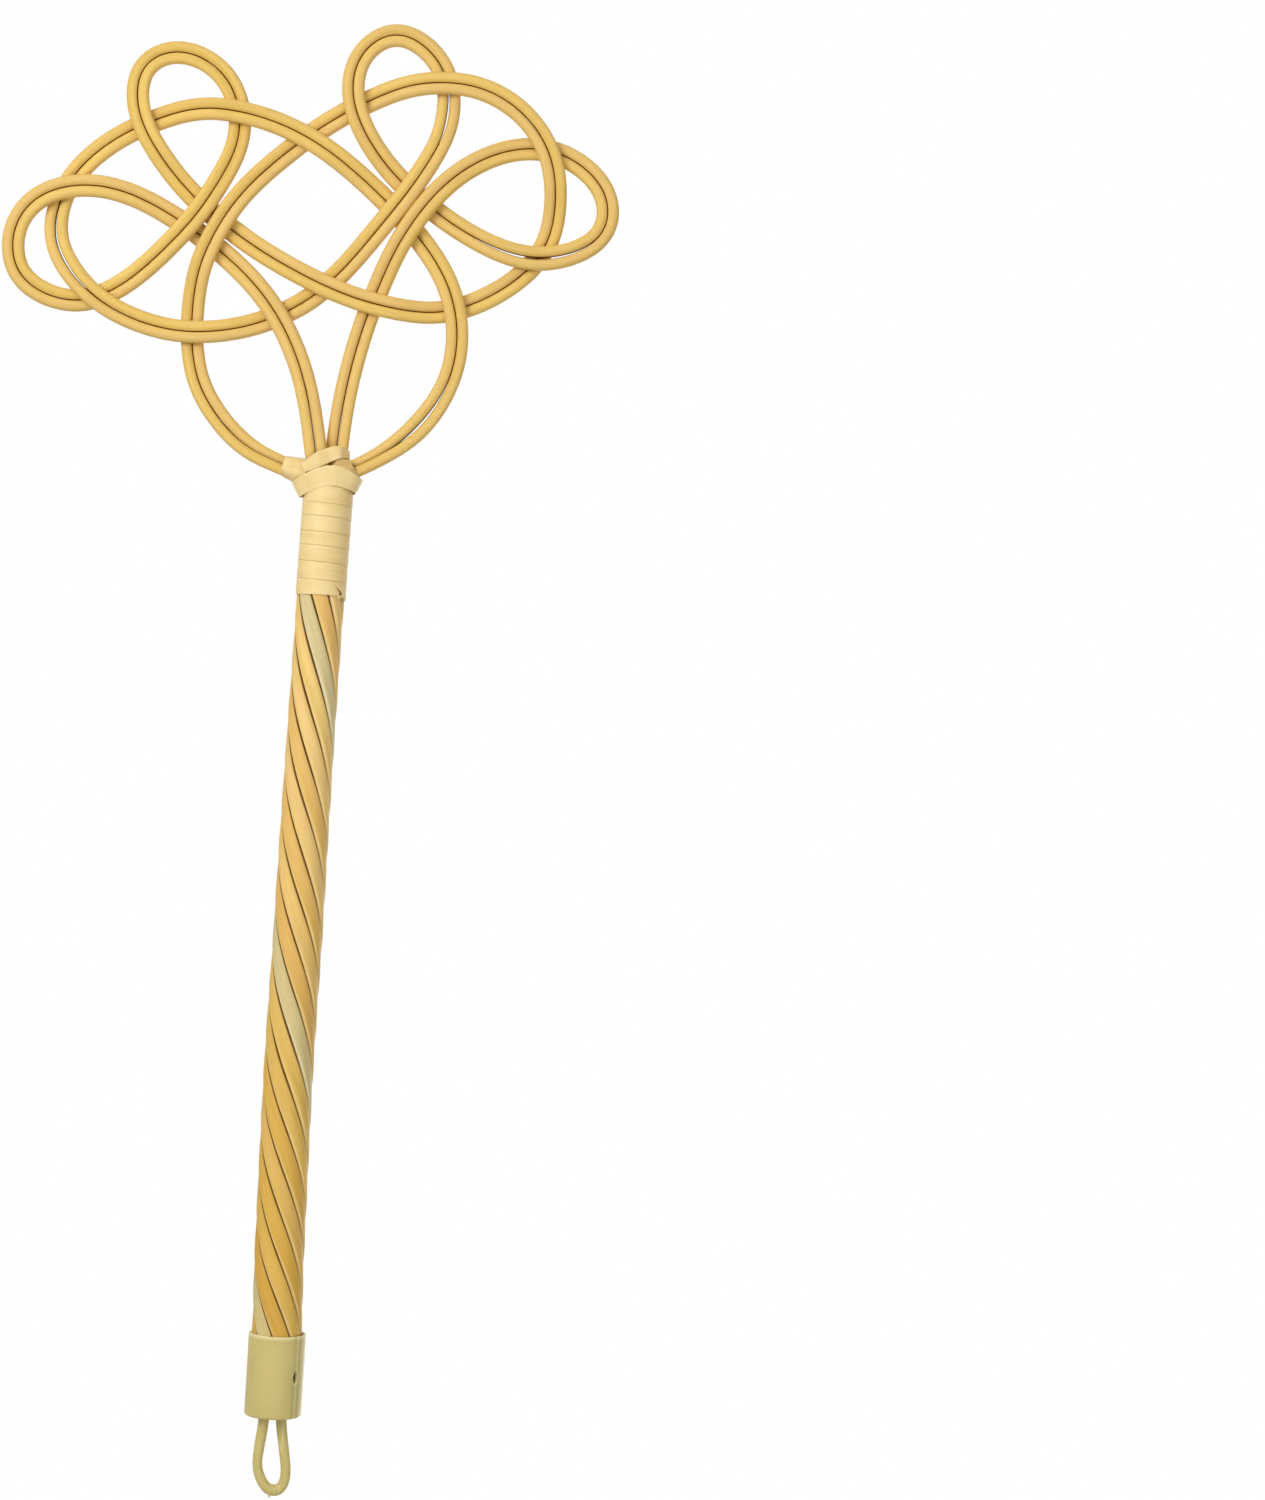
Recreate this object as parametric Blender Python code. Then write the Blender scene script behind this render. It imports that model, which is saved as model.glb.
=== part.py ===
"""A carpet beater: four long canes woven into a flat head, their eight ends twisted into a handle.

It hangs from its loop with the head down, as it is stored. All lengths are in metres. +Z is up, -Y is the
front, and the origin is where a hook bears, inside the top of the hanging loop. The head is drawn as seen
from the front with the head uppermost: across runs to the viewer's right, out runs from the neck towards
the head's far edge, and front runs towards the viewer.
"""

import math

import bmesh
import bpy
import numpy as np

# Canes
CANE_DIAMETER = 0.00515
CANE_CLEARANCE = 0.0003
CANE_SIDES = 8

# Woven head: the span is measured between the outermost centre lines of the two side loops
HEAD_SPAN = 0.282

# The centre line of each pair of canes, as shares of HEAD_SPAN across and out from the neck
LEFT_PAIR_SHARES = (
    # from the collar's left side up through the left centre
    (-0.076, 0.047), (-0.145, 0.079), (-0.210, 0.146), (-0.241, 0.220), (-0.239, 0.364), (-0.141, 0.540),
    # the large right loop and its lower arc
    (0.030, 0.672), (0.121, 0.703), (0.205, 0.703), (0.281, 0.669), (0.337, 0.600), (0.353, 0.512),
    (0.334, 0.433), (0.268, 0.365), (0.173, 0.324), (0.078, 0.325), (-0.013, 0.349), (-0.136, 0.407),
    # the small loop at the top left
    (-0.252, 0.489), (-0.319, 0.562), (-0.356, 0.635), (-0.349, 0.704), (-0.292, 0.733), (-0.217, 0.698),
    (-0.187, 0.613), (-0.214, 0.519), (-0.281, 0.419),
    # the left side loop
    (-0.389, 0.325), (-0.466, 0.307), (-0.540, 0.345), (-0.550, 0.424), (-0.500, 0.482), (-0.413, 0.498),
    # back to the middle of the collar
    (-0.319, 0.472), (-0.201, 0.399), (-0.110, 0.309), (-0.052, 0.195), (-0.024, 0.075),
)
RIGHT_PAIR_SHARES = (
    # from the collar's right side up through the right centre
    (0.046, 0.052), (0.061, 0.060), (0.124, 0.105), (0.184, 0.187), (0.202, 0.271), (0.185, 0.357),
    (0.129, 0.443), (0.031, 0.535),
    # the large left loop and its lower arc
    (-0.099, 0.614), (-0.237, 0.640), (-0.329, 0.618), (-0.417, 0.564), (-0.474, 0.491), (-0.484, 0.413),
    (-0.448, 0.347), (-0.391, 0.300), (-0.303, 0.268), (-0.197, 0.268), (-0.092, 0.307), (-0.011, 0.371),
    # the small loop at the top right
    (0.134, 0.568), (0.163, 0.662), (0.146, 0.738), (0.076, 0.784), (0.018, 0.751), (0.003, 0.680),
    (0.036, 0.601), (0.109, 0.524),
    # the right side loop
    (0.237, 0.443), (0.343, 0.422), (0.431, 0.466), (0.434, 0.539), (0.362, 0.599), (0.266, 0.600),
    # back to the middle of the collar
    (0.154, 0.521), (0.060, 0.348), (0.019, 0.180), (0.010, 0.093),
)

# What each pair does at its crossings, from its first end to its last: O passes over, U under
LEFT_PAIR_WEAVE = "UOOUUOOUUOOUUOUOOUOUUO"
RIGHT_PAIR_WEAVE = "OUUOOUUOOUUOOUOUUOUOOU"

# Handle, from the hook downwards
LOOP_REACH = 0.0352
CAP_LENGTH = 0.0374
GRIP_LENGTH = 0.3517
BINDING_LENGTH = 0.0463
HANDLE_DIAMETER = 0.0238
STRAND_THICKNESS = 0.0030
HOOK_OFFSET = 0.0015  # the loop leans, so the hook bears this far to the side of the handle's axis
HANDLE_BOW = 0.0017

# The twist starts inside the binding, eases in, and tightens slowly towards the cap
TWIST_START = 0.0285
TWIST_EASE = 0.0240
TWIST_PITCH_AT_NECK = 0.1830
TWIST_PITCH_AT_CAP = 0.1620

# Where the ends of each pair stand in the ring of strands, in degrees from the front: outer cane, inner cane
LEFT_PAIR_FIRST_SLOTS = (-67.5, -112.5)
LEFT_PAIR_LAST_SLOTS = (-22.5, -157.5)
RIGHT_PAIR_FIRST_SLOTS = (67.5, 112.5)
RIGHT_PAIR_LAST_SLOTS = (157.5, 22.5)
FILLER_SLOT = -67.5
FILLER_LAP = 0.0120  # the filler takes over from a cane end this far inside the binding
FILLER_END_GAP = 0.0010

# Near the neck each pair's first end rolls, its lower cane to the front, and its last end opens a little
PAIR_ROLL = math.radians(42)
PAIR_OPENING = 0.0007
NECK_RUN = 0.0450

# How the canes turn from the head into the ring: the reach of the curve's ends as shares of its chord
TURN_HEAD_SHARE = 0.30
TURN_RING_SHARE = 0.42

# Core rod
CORE_TOP_INSET = 0.0040

# Neck binding: one flat strip, wound edge to edge
STRIP_WIDTH = 0.0069
STRIP_THICKNESS = 0.0008
STRIP_GAP = 0.0005
STRIP_CLEARANCE = 0.0004
BINDING_POINTS_PER_TURN = 24
BINDING_TOP = 0.0046  # how far its upper edge reaches past the neck, at the front
BINDING_TIP = math.radians(-90)  # it starts as a point at the left side
BINDING_FULL = math.radians(-25)  # and has its full width from here on
BINDING_TIP_SHARE = 0.2

# Collar lashing: one flat strip over the place where the pairs part
LASHING_WIDTH = 0.0090
LASHING_THICKNESS = 0.0007
LASHING_CLEARANCE = 0.0007
LASHING_LAYER_GAP = 0.0010
LASHING_WINDOW = 0.0018
LASHING_MARGIN = 0.0012
LASHING_REACH = 0.0048
LASHING_OWN_REACH = 0.0062
LASHING_SUBDIVISIONS = 4
LASHING_ROUNDS = 7
LASHING_FIRST_HEIGHT_SHARE = 0.25  # of HANDLE_DIAMETER, where the search for its height begins
LASHING_APART_SHARE = 1.5  # of its width, along it, past which its gap to itself is measured

# Its route: a place inside the bundle as shares of HANDLE_DIAMETER (across, out, front), the way out
# to the strip from there (across, out, front), and the strip's width share
LASHING_SHARES = (
    # the hidden start in front of the right pair, then down and round the right side
    ((0.27, 0.73, 0.02), (0.10, 0.10, 1.00), 0.80),
    ((0.27, 0.61, 0.08), (0.10, 0.00, 1.00), 0.90),
    ((0.29, 0.48, 0.13), (0.35, -0.05, 0.93), 1.00),
    ((0.36, 0.36, 0.08), (0.80, -0.20, 0.55), 0.80),
    ((0.40, 0.28, 0.00), (1.00, -0.25, 0.00), 0.45),
    ((0.27, 0.31, -0.25), (0.60, -0.10, -0.80), 0.80),
    # up behind the neck to the left pair
    ((0.13, 0.36, -0.34), (0.10, 0.00, -1.00), 1.00),
    ((-0.13, 0.46, -0.21), (0.00, 0.00, -1.00), 1.00),
    ((-0.36, 0.55, -0.08), (0.00, 0.15, -1.00), 1.00),
    ((-0.57, 0.56, -0.11), (0.10, 0.40, -0.90), 0.60),
    # over the left pair and below it
    ((-0.72, 0.55, -0.08), (0.37, 0.93, 0.00), 0.60),
    ((-0.74, 0.52, 0.00), (0.25, 0.60, 0.75), 0.85),
    ((-0.76, 0.48, 0.08), (0.00, 0.00, 1.00), 0.95),
    ((-0.78, 0.46, 0.08), (-0.25, -0.60, 0.75), 0.85),
    ((-0.80, 0.45, 0.08), (-0.45, -0.90, 0.00), 0.70),
    ((-0.77, 0.50, -0.04), (-0.25, -0.60, -0.75), 0.75),
    # behind the neck to its right side
    ((-0.61, 0.46, -0.11), (0.00, -0.05, -1.00), 0.85),
    ((-0.34, 0.37, -0.21), (0.00, 0.00, -1.00), 1.00),
    ((0.00, 0.32, -0.34), (0.00, 0.00, -1.00), 1.00),
    ((0.25, 0.29, -0.29), (0.40, -0.05, -0.90), 0.85),
    # the arch across the front
    ((0.41, 0.27, 0.00), (1.00, -0.20, 0.00), 0.50),
    ((0.35, 0.34, 0.21), (0.60, 0.00, 0.80), 0.80),
    ((0.17, 0.39, 0.38), (0.15, 0.02, 1.00), 1.05),
    ((-0.02, 0.38, 0.38), (0.00, 0.00, 1.00), 1.05),
    ((-0.23, 0.31, 0.36), (-0.15, -0.02, 1.00), 1.05),
    ((-0.39, 0.20, 0.23), (-0.60, -0.10, 0.80), 0.80),
    ((-0.42, 0.17, 0.00), (-1.00, -0.25, 0.00), 0.45),
    ((-0.38, 0.22, -0.23), (-0.60, -0.10, -0.80), 0.75),
    # up behind the neck to the notch on the right
    ((-0.17, 0.34, -0.44), (-0.10, 0.00, -1.00), 1.00),
    ((0.04, 0.55, -0.40), (0.00, 0.00, -1.00), 1.00),
    ((0.19, 0.76, -0.21), (0.10, 0.00, -1.00), 0.85),
    ((0.23, 0.87, -0.04), (0.50, 0.10, -0.85), 0.55),
    # the slanting band across the front, its tail tucked in on the left
    ((0.21, 0.92, -0.05), (1.00, 0.10, 0.00), 0.45),
    ((0.22, 0.91, 0.00), (0.60, 0.05, 0.80), 0.65),
    ((0.13, 0.87, 0.06), (0.10, 0.00, 1.00), 0.80),
    ((-0.04, 0.79, 0.04), (0.00, 0.00, 1.00), 0.85),
    ((-0.20, 0.71, 0.13), (0.00, 0.00, 1.00), 0.85),
    ((-0.36, 0.66, 0.04), (-0.20, 0.00, 1.00), 0.80),
    ((-0.38, 0.69, 0.05), (-0.60, 0.05, 0.80), 0.50),
    ((-0.38, 0.71, 0.05), (-0.90, 0.05, 0.40), 0.35),
)

# End cap, its recess and its loop
CAP_DIAMETER = 0.0271
CAP_RIM_ROUND = 0.0007
CAP_BORE_CLEARANCE = 0.0003
CAP_RECESS = 0.0055
CAP_FLOOR = 0.0016
CAP_BAR_WIDTH = 0.0036
CAP_RIB_WIDTH = 0.0020
CAP_RIB_DEPTH = 0.0038
CAP_BAR_INSET = 0.0008
CAP_SEGMENTS = 48
LOOP_DIAMETER = 0.0049
LOOP_ARC_RADIUS = 0.0067
LOOP_FOOT_HALF_SPACING = 0.0043
LOOP_SIDES = 10
LOOP_ARC_STEPS = 14

# Nail through the cap's side
NAIL_DROP = 0.0182  # below the cap's rim
NAIL_SHANK_DIAMETER = 0.0016
NAIL_HEAD_DIAMETER = 0.0027
NAIL_HEAD_THICKNESS = 0.0005
NAIL_LENGTH = 0.0090
NAIL_BORE_CLEARANCE = 0.0003
NAIL_HOLE_WIDTH = 0.0034
NAIL_HOLE_HEIGHT = 0.0058
NAIL_SINK = 0.0003  # how far the nail's head lies above the strand
NAIL_SIDES = 12

# Fineness of the modelled curves
DENSE_STEP = 0.0010
SUBDIVISIONS = 40
LEAST_STEPS_BETWEEN = 2
TWIST_ROWS = 2000
FLAT_TOLERANCE = 0.00025
HEIGHT_TOLERANCE = 0.00012
STRAND_TWIST_STEP = math.radians(24)
STRAND_STEP = 0.0110
CORE_STATIONS = 13
CORE_SIDES = 16
BINDING_SUBDIVISIONS = 4
STRIP_FACE_POINTS = 7
RIM_STEPS = 3
SHARP_ANGLE = math.radians(35)

FULL_TURN = 2 * math.pi
MM = 0.001

# Each finish's colour, how rough it is and how metallic
FINISHES = {
    "golden": ((0.78, 0.52, 0.16, 1.0), 0.42, 0.0),
    "pale": ((0.74, 0.62, 0.30, 1.0), 0.42, 0.0),
    "strip": ((0.86, 0.68, 0.33, 1.0), 0.30, 0.0),
    "cap": ((0.58, 0.48, 0.19, 1.0), 0.35, 0.0),
    "wood": ((0.50, 0.33, 0.17, 1.0), 0.70, 0.0),
    "steel": ((0.55, 0.55, 0.56, 1.0), 0.35, 1.0),
}

# Sizes and places that follow from the ones above
PAIR_SPACING = CANE_DIAMETER + CANE_CLEARANCE
PAIR_WIDTH = PAIR_SPACING + CANE_DIAMETER
WEAVE_HEIGHT = PAIR_SPACING / 2
CAP_END_Z = -LOOP_REACH
CAP_MOUTH_Z = CAP_END_Z - CAP_LENGTH
BINDING_END_Z = CAP_MOUTH_Z - GRIP_LENGTH
NECK_Z = BINDING_END_Z - BINDING_LENGTH
CAP_FLOOR_TOP_Z = CAP_END_Z - CAP_RECESS
CAP_FLOOR_UNDER_Z = CAP_FLOOR_TOP_Z - CAP_FLOOR
STRAND_END_Z = CAP_FLOOR_UNDER_Z - CANE_CLEARANCE
STRAND_SLOTS = (-157.5, -112.5, -67.5, -22.5, 22.5, 67.5, 112.5, 157.5)
RING_RADIUS = (HANDLE_DIAMETER - STRAND_THICKNESS) / 2
CORE_RADIUS = RING_RADIUS * math.cos(STRAND_TWIST_STEP / 2) - STRAND_THICKNESS / 2 - CANE_CLEARANCE
CAP_BORE_RADIUS = HANDLE_DIAMETER / 2 + CAP_BORE_CLEARANCE


def strand_half_width():
    """The widest half section at which neighbours in the ring keep their clearance."""
    half_slot = math.pi / len(STRAND_SLOTS)
    reach = RING_RADIUS * math.sin(half_slot) - CANE_CLEARANCE / 2
    flat = STRAND_THICKNESS / 2 * math.sin(half_slot)
    return math.sqrt(reach**2 - flat**2) / math.cos(half_slot)


STRAND_HALF_WIDTH = strand_half_width()


# Curves


def lengths_along(points):
    """The distance along a line of points, from its first point to each one."""
    steps = np.linalg.norm(np.diff(points, axis=0), axis=1)
    return np.concatenate([[0.0], np.cumsum(steps)])


def smooth_line(points, step):
    """A natural cubic through the points, read off again at an even step."""
    points = np.asarray(points, float)
    count = len(points)
    chords = np.linalg.norm(np.diff(points, axis=0), axis=1)
    knots = np.concatenate([[0.0], np.cumsum(np.sqrt(chords))])
    gaps = np.diff(knots)
    slopes = np.diff(points, axis=0) / gaps[:, None]
    system = np.eye(count)
    right_side = np.zeros_like(points)
    for i in range(1, count - 1):
        system[i, i - 1 : i + 2] = gaps[i - 1], 2 * (gaps[i - 1] + gaps[i]), gaps[i]
        right_side[i] = 6 * (slopes[i] - slopes[i - 1])
    bends = np.linalg.solve(system, right_side)
    fine = np.linspace(0.0, knots[-1], count * SUBDIVISIONS)
    span = np.clip(np.searchsorted(knots, fine, side="right") - 1, 0, count - 2)
    before = (knots[span + 1] - fine)[:, None]
    after = (fine - knots[span])[:, None]
    gap = gaps[span][:, None]
    curve = (
        (bends[span] * before**3 + bends[span + 1] * after**3) / (6 * gap)
        + (points[span] / gap - bends[span] * gap / 6) * before
        + (points[span + 1] / gap - bends[span + 1] * gap / 6) * after
    )
    return even_line(curve, step)


def even_line(points, step):
    """The same line with its points at an even step."""
    along = lengths_along(points)
    places = np.linspace(0.0, along[-1], max(2, round(along[-1] / step) + 1))
    return np.stack([np.interp(places, along, column) for column in points.T], axis=1)


def ease(share):
    """Rises from 0 to 1 with no corner at either end."""
    share = np.clip(share, 0.0, 1.0)
    return share * share * (3 - 2 * share)


def unit(vectors):
    return vectors / np.linalg.norm(vectors, axis=-1, keepdims=True)


def directions_along(points):
    return unit(np.gradient(points, axis=0))


# The weave


def crossings(first, second):
    """Where two flat lines cross: (length along the first, length along the second, angle between them)."""
    same = first is second
    starts_a, steps_a = first[:-1], np.diff(first, axis=0)
    starts_b, steps_b = second[:-1], np.diff(second, axis=0)
    apart = starts_b[None] - starts_a[:, None]
    cross = steps_a[:, None, 0] * steps_b[None, :, 1] - steps_a[:, None, 1] * steps_b[None, :, 0]
    cross = np.where(cross == 0, np.inf, cross)
    share_a = (apart[..., 0] * steps_b[None, :, 1] - apart[..., 1] * steps_b[None, :, 0]) / cross
    share_b = (apart[..., 0] * steps_a[:, None, 1] - apart[..., 1] * steps_a[:, None, 0]) / cross
    hit = (share_a >= 0) & (share_a < 1) & (share_b >= 0) & (share_b < 1)
    if same:
        order = np.arange(len(starts_a))
        hit &= order[None, :] > order[:, None] + LEAST_STEPS_BETWEEN
    along_a, along_b = lengths_along(first), lengths_along(second)
    found = []
    for i, j in zip(*np.nonzero(hit)):
        place_a = along_a[i] + share_a[i, j] * (along_a[i + 1] - along_a[i])
        place_b = along_b[j] + share_b[i, j] * (along_b[j + 1] - along_b[j])
        cosine = abs(np.dot(unit(steps_a[i]), unit(steps_b[j])))
        found.append((place_a, place_b, math.acos(min(1.0, cosine))))
    return found


def level_reach(angle):
    """Half the length over which a pair stays level to clear a pair that crosses it at this angle."""
    return PAIR_WIDTH / 2 * (1 + math.cos(angle)) / math.sin(angle)


def weave_heights(line, passes, weave):
    """The height of a pair's centre line towards the front, level at each crossing and eased between them.

    It starts at the middle of the neck, and its other end reaches the neck at its last crossing's height.
    """
    if len(passes) != len(weave):
        raise ValueError(f"{len(passes)} crossings against {len(weave)} in the weave")
    places, heights = [0.0], [0.0]
    for (place, angle), letter in zip(sorted(passes), weave):
        height = WEAVE_HEIGHT if letter == "O" else -WEAVE_HEIGHT
        reach = level_reach(angle)
        places += [max(place - reach, places[-1]), place + reach]
        heights += [height, height]
    along = lengths_along(line)
    places.append(max(along[-1], places[-1]))
    heights.append(heights[-1])
    places, heights = np.array(places), np.array(heights)
    span = np.clip(np.searchsorted(places, along, side="right") - 1, 0, len(places) - 2)
    width = np.maximum(places[span + 1] - places[span], np.finfo(float).eps)
    share = ease((along - places[span]) / width)
    return heights[span] + share * (heights[span + 1] - heights[span])


def woven_pairs():
    """The two pairs' centre lines, as (across, out, front) points."""
    left = smooth_line(np.array(LEFT_PAIR_SHARES) * HEAD_SPAN, DENSE_STEP)
    right = smooth_line(np.array(RIGHT_PAIR_SHARES) * HEAD_SPAN, DENSE_STEP)
    passes = {"left": [], "right": []}
    for name_a, line_a, name_b, line_b in (
        ("left", left, "left", left),
        ("right", right, "right", right),
        ("left", left, "right", right),
    ):
        for place_a, place_b, angle in crossings(line_a, line_b):
            passes[name_a].append((place_a, angle))
            passes[name_b].append((place_b, angle))
    heights_left = weave_heights(left, passes["left"], LEFT_PAIR_WEAVE)
    heights_right = weave_heights(right, passes["right"], RIGHT_PAIR_WEAVE)
    return np.column_stack([left, heights_left]), np.column_stack([right, heights_right])


# The handle


def twist_table():
    """Distances from the neck towards the cap, and how far the strands have turned at each."""
    run = STRAND_END_Z - NECK_Z
    places = np.linspace(0.0, run, TWIST_ROWS)
    toward_cap = np.clip(places / (CAP_MOUTH_Z - NECK_Z), 0.0, 1.0)
    pitch = TWIST_PITCH_AT_NECK + (TWIST_PITCH_AT_CAP - TWIST_PITCH_AT_NECK) * toward_cap
    rate = FULL_TURN / pitch * ease((places - TWIST_START) / TWIST_EASE)
    turn = np.concatenate([[0.0], np.cumsum((rate[1:] + rate[:-1]) / 2 * np.diff(places))])
    return places, turn


TWIST_PLACES, TWIST_TURNS = twist_table()


def strand_angle(slot, below_neck):
    """The angle from the front of a strand that starts in this slot, this far from the neck towards the cap."""
    return math.radians(slot) + np.interp(below_neck, TWIST_PLACES, TWIST_TURNS)


def axis_across(below_neck):
    """How far the handle's slightly bowed axis lies across, this far from the neck towards the cap."""
    share = np.clip(below_neck / (CAP_MOUTH_Z - NECK_Z), 0.0, 1.0)
    return -HANDLE_BOW * np.sin(math.pi * share)


def ring_points(slot, below_neck):
    """Points on a strand's centre line and its sideways directions, as (across, out, front)."""
    angle = strand_angle(slot, below_neck)
    across = axis_across(below_neck) + RING_RADIUS * np.sin(angle)
    points = np.stack([across, -below_neck, RING_RADIUS * np.cos(angle)], axis=1)
    sideways = np.stack([np.cos(angle), np.zeros_like(angle), -np.sin(angle)], axis=1)
    return points, sideways * math.copysign(1.0, math.cos(math.radians(slot)))


def chord_stations(points):
    """The points of a line that a faceted tube needs, so that its straight runs stay near the line."""
    tolerance = np.array([FLAT_TOLERANCE, FLAT_TOLERANCE, HEIGHT_TOLERANCE])
    scaled = points / tolerance
    keep = np.zeros(len(points), bool)
    keep[0] = keep[-1] = True
    start = 0
    for end in range(2, len(points)):
        run = scaled[end] - scaled[start]
        share = np.linspace(0.0, 1.0, end - start + 1)[:, None]
        if np.abs(scaled[start : end + 1] - scaled[start] - share * run).max() > 1:
            start = end - 1
            keep[start] = True
    return keep


class Path:
    """A cane's centre line with, at each point, its frame, its half sizes and whether the facets need it."""

    def __init__(self, points, along, sideways, half_width, half_thickness, keep):
        self.points, self.along, self.sideways, self.keep = points, along, sideways, keep
        self.half_width = np.broadcast_to(half_width, len(points))
        self.half_thickness = np.broadcast_to(half_thickness, len(points))

    def turned_about(self):
        """The same path travelled from its other end."""
        half_sizes = self.half_width[::-1], self.half_thickness[::-1]
        return Path(self.points[::-1], -self.along[::-1], -self.sideways[::-1], *half_sizes, self.keep[::-1])

    def then(self, other):
        """This path and the next, whose first point repeats this one's last."""
        joined = [np.concatenate([getattr(self, name), getattr(other, name)[1:]]) for name in PATH_FIELDS]
        return Path(*joined)

    def corners(self, chosen):
        """The corners of the cane's section at the chosen points."""
        along = unit(self.along[chosen])
        sideways = self.sideways[chosen]
        sideways = unit(sideways - (sideways * along).sum(axis=1, keepdims=True) * along)
        forward = np.cross(along, sideways)
        turn = np.arange(CANE_SIDES) * FULL_TURN / CANE_SIDES
        wide = self.half_width[chosen][:, None] * np.cos(turn)
        thick = self.half_thickness[chosen][:, None] * np.sin(turn)
        corners = self.points[chosen][:, None] + wide[..., None] * sideways[:, None]
        return corners + thick[..., None] * forward[:, None]

    def rings(self):
        """The rings of corners that its faceted tube is made from, in the object's frame."""
        return to_object(self.corners(self.keep))

    def near_neck(self):
        """Points all over the cane where it passes through the neck and the collar."""
        out = self.points[:, 1]
        return self.corners((out > -LASHING_WIDTH) & (out < NECK_RUN)).reshape(-1, 3)


PATH_FIELDS = ("points", "along", "sideways", "half_width", "half_thickness", "keep")


def to_object(points):
    """Turns (across, out, front) points, measured from the neck, into the object's own frame."""
    across, out, front = np.moveaxis(np.asarray(points, float), -1, 0)
    return np.stack([HOOK_OFFSET - across, -front, NECK_Z - out], axis=-1)


def strand_path(slot, from_neck, to_neck):
    """A strand of the handle between two distances from the neck, with stations level with its neighbours'."""
    turn_marks = np.arange(0.0, TWIST_TURNS[-1], STRAND_TWIST_STEP)[1:]
    twisted = np.interp(turn_marks, TWIST_TURNS, TWIST_PLACES)
    straight = np.arange(0.0, twisted[0] - STRAND_STEP / 2, STRAND_STEP)
    places = np.concatenate([straight, twisted])
    inside = places[(places > from_neck + CANE_CLEARANCE) & (places < to_neck - CANE_CLEARANCE)]
    places = np.concatenate([[from_neck], inside, [to_neck]])
    points, sideways = ring_points(slot, places)
    along = np.broadcast_to([0.0, -1.0, 0.0], points.shape)
    keep = np.ones(len(points), bool)
    return Path(points, along, sideways, STRAND_HALF_WIDTH, STRAND_THICKNESS / 2, keep)


def turn_path(start, heading, sideways, slot):
    """The bend by which a cane leaves the head, heading into the neck, and takes its slot in the ring."""
    ring, ring_sideways = ring_points(slot, np.zeros(1))
    end = ring[0]
    chord = np.linalg.norm(end - start)
    down = np.array([0.0, -1.0, 0.0])
    controls = (start, start + heading * chord * TURN_HEAD_SHARE, end - down * chord * TURN_RING_SHARE, end)
    share = np.linspace(0.0, 1.0, round(chord / DENSE_STEP) * 2)[:, None]
    rest = 1 - share
    points = (
        rest**3 * controls[0] + 3 * rest**2 * share * controls[1]
        + 3 * rest * share**2 * controls[2] + share**3 * controls[3]
    )
    blend = ease(share)
    along = unit(directions_along(points) * (1 - blend) + down * blend)
    across = unit(sideways * (1 - blend) + ring_sideways * blend)
    round_half = CANE_DIAMETER / 2
    half_width = round_half + (STRAND_HALF_WIDTH - round_half) * blend[:, 0]
    half_thickness = round_half + (STRAND_THICKNESS / 2 - round_half) * blend[:, 0]
    return Path(points, along, across, half_width, half_thickness, chord_stations(points))


def head_path(pair, side, roll):
    """One cane of a pair through the head; side is 1 to the left of its travel and -1 to the right."""
    travel = directions_along(pair[:, :2])
    flat_left = np.stack([-travel[:, 1], travel[:, 0], np.zeros(len(pair))], axis=1)
    along = lengths_along(pair)
    rolled = (roll * ease(1 - along / NECK_RUN))[:, None]
    spacing = PAIR_SPACING + PAIR_OPENING * ease(1 - (along[-1] - along) / NECK_RUN)[:, None]
    offset = np.cos(rolled) * flat_left + np.sin(rolled) * np.array([0.0, 0.0, 1.0])
    points = pair + side * spacing / 2 * offset
    half = CANE_DIAMETER / 2
    return Path(points, directions_along(pair), flat_left, half, half, chord_stations(pair))


def cane_path(pair, side, roll, slots, runs):
    """A whole cane: up one strand of the handle, through the head, and down another strand."""
    head = head_path(pair, side, roll)
    first_turn = turn_path(head.points[0], -head.along[0], -head.sideways[0], slots[0])
    last_turn = turn_path(head.points[-1], head.along[-1], head.sideways[-1], slots[1])
    inbound = first_turn.then(strand_path(slots[0], 0.0, runs[0]))
    outbound = last_turn.then(strand_path(slots[1], 0.0, runs[1]))
    return inbound.turned_about().then(head).then(outbound)


# Making objects


def material(name, finish):
    colour, roughness, metallic = FINISHES[finish]
    made = bpy.data.materials.new(name)
    made.use_nodes = True
    shader = made.node_tree.nodes["Principled BSDF"]
    shader.inputs["Base Color"].default_value = colour
    shader.inputs["Roughness"].default_value = roughness
    shader.inputs["Metallic"].default_value = metallic
    return made


def make_object(name, mesh_maker, finish=None):
    """An object from a filled bmesh, shaded smooth; without a finish it is a helper that isn't rendered."""
    mesh = bpy.data.meshes.new(name)
    bmesh.ops.recalc_face_normals(mesh_maker, faces=mesh_maker.faces)
    mesh_maker.to_mesh(mesh)
    mesh_maker.free()
    mesh.shade_smooth()
    mesh.set_sharp_from_angle(angle=SHARP_ANGLE)
    made = bpy.data.objects.new(name, mesh)
    bpy.context.scene.collection.objects.link(made)
    if finish is None:
        made.hide_render = True
        made.display_type = "WIRE"
    else:
        mesh.materials.append(material(name + "_finish", finish))
    return made


def tube(rings):
    """A closed tube through rings of corners."""
    made = bmesh.new()
    rows = [[made.verts.new(corner) for corner in ring] for ring in rings]
    for row, following in zip(rows, rows[1:]):
        for i, corner in enumerate(row):
            j = (i + 1) % len(row)
            made.faces.new((corner, row[j], following[j], following[i]))
    made.faces.new(rows[0])
    made.faces.new(rows[-1])
    return made


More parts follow.
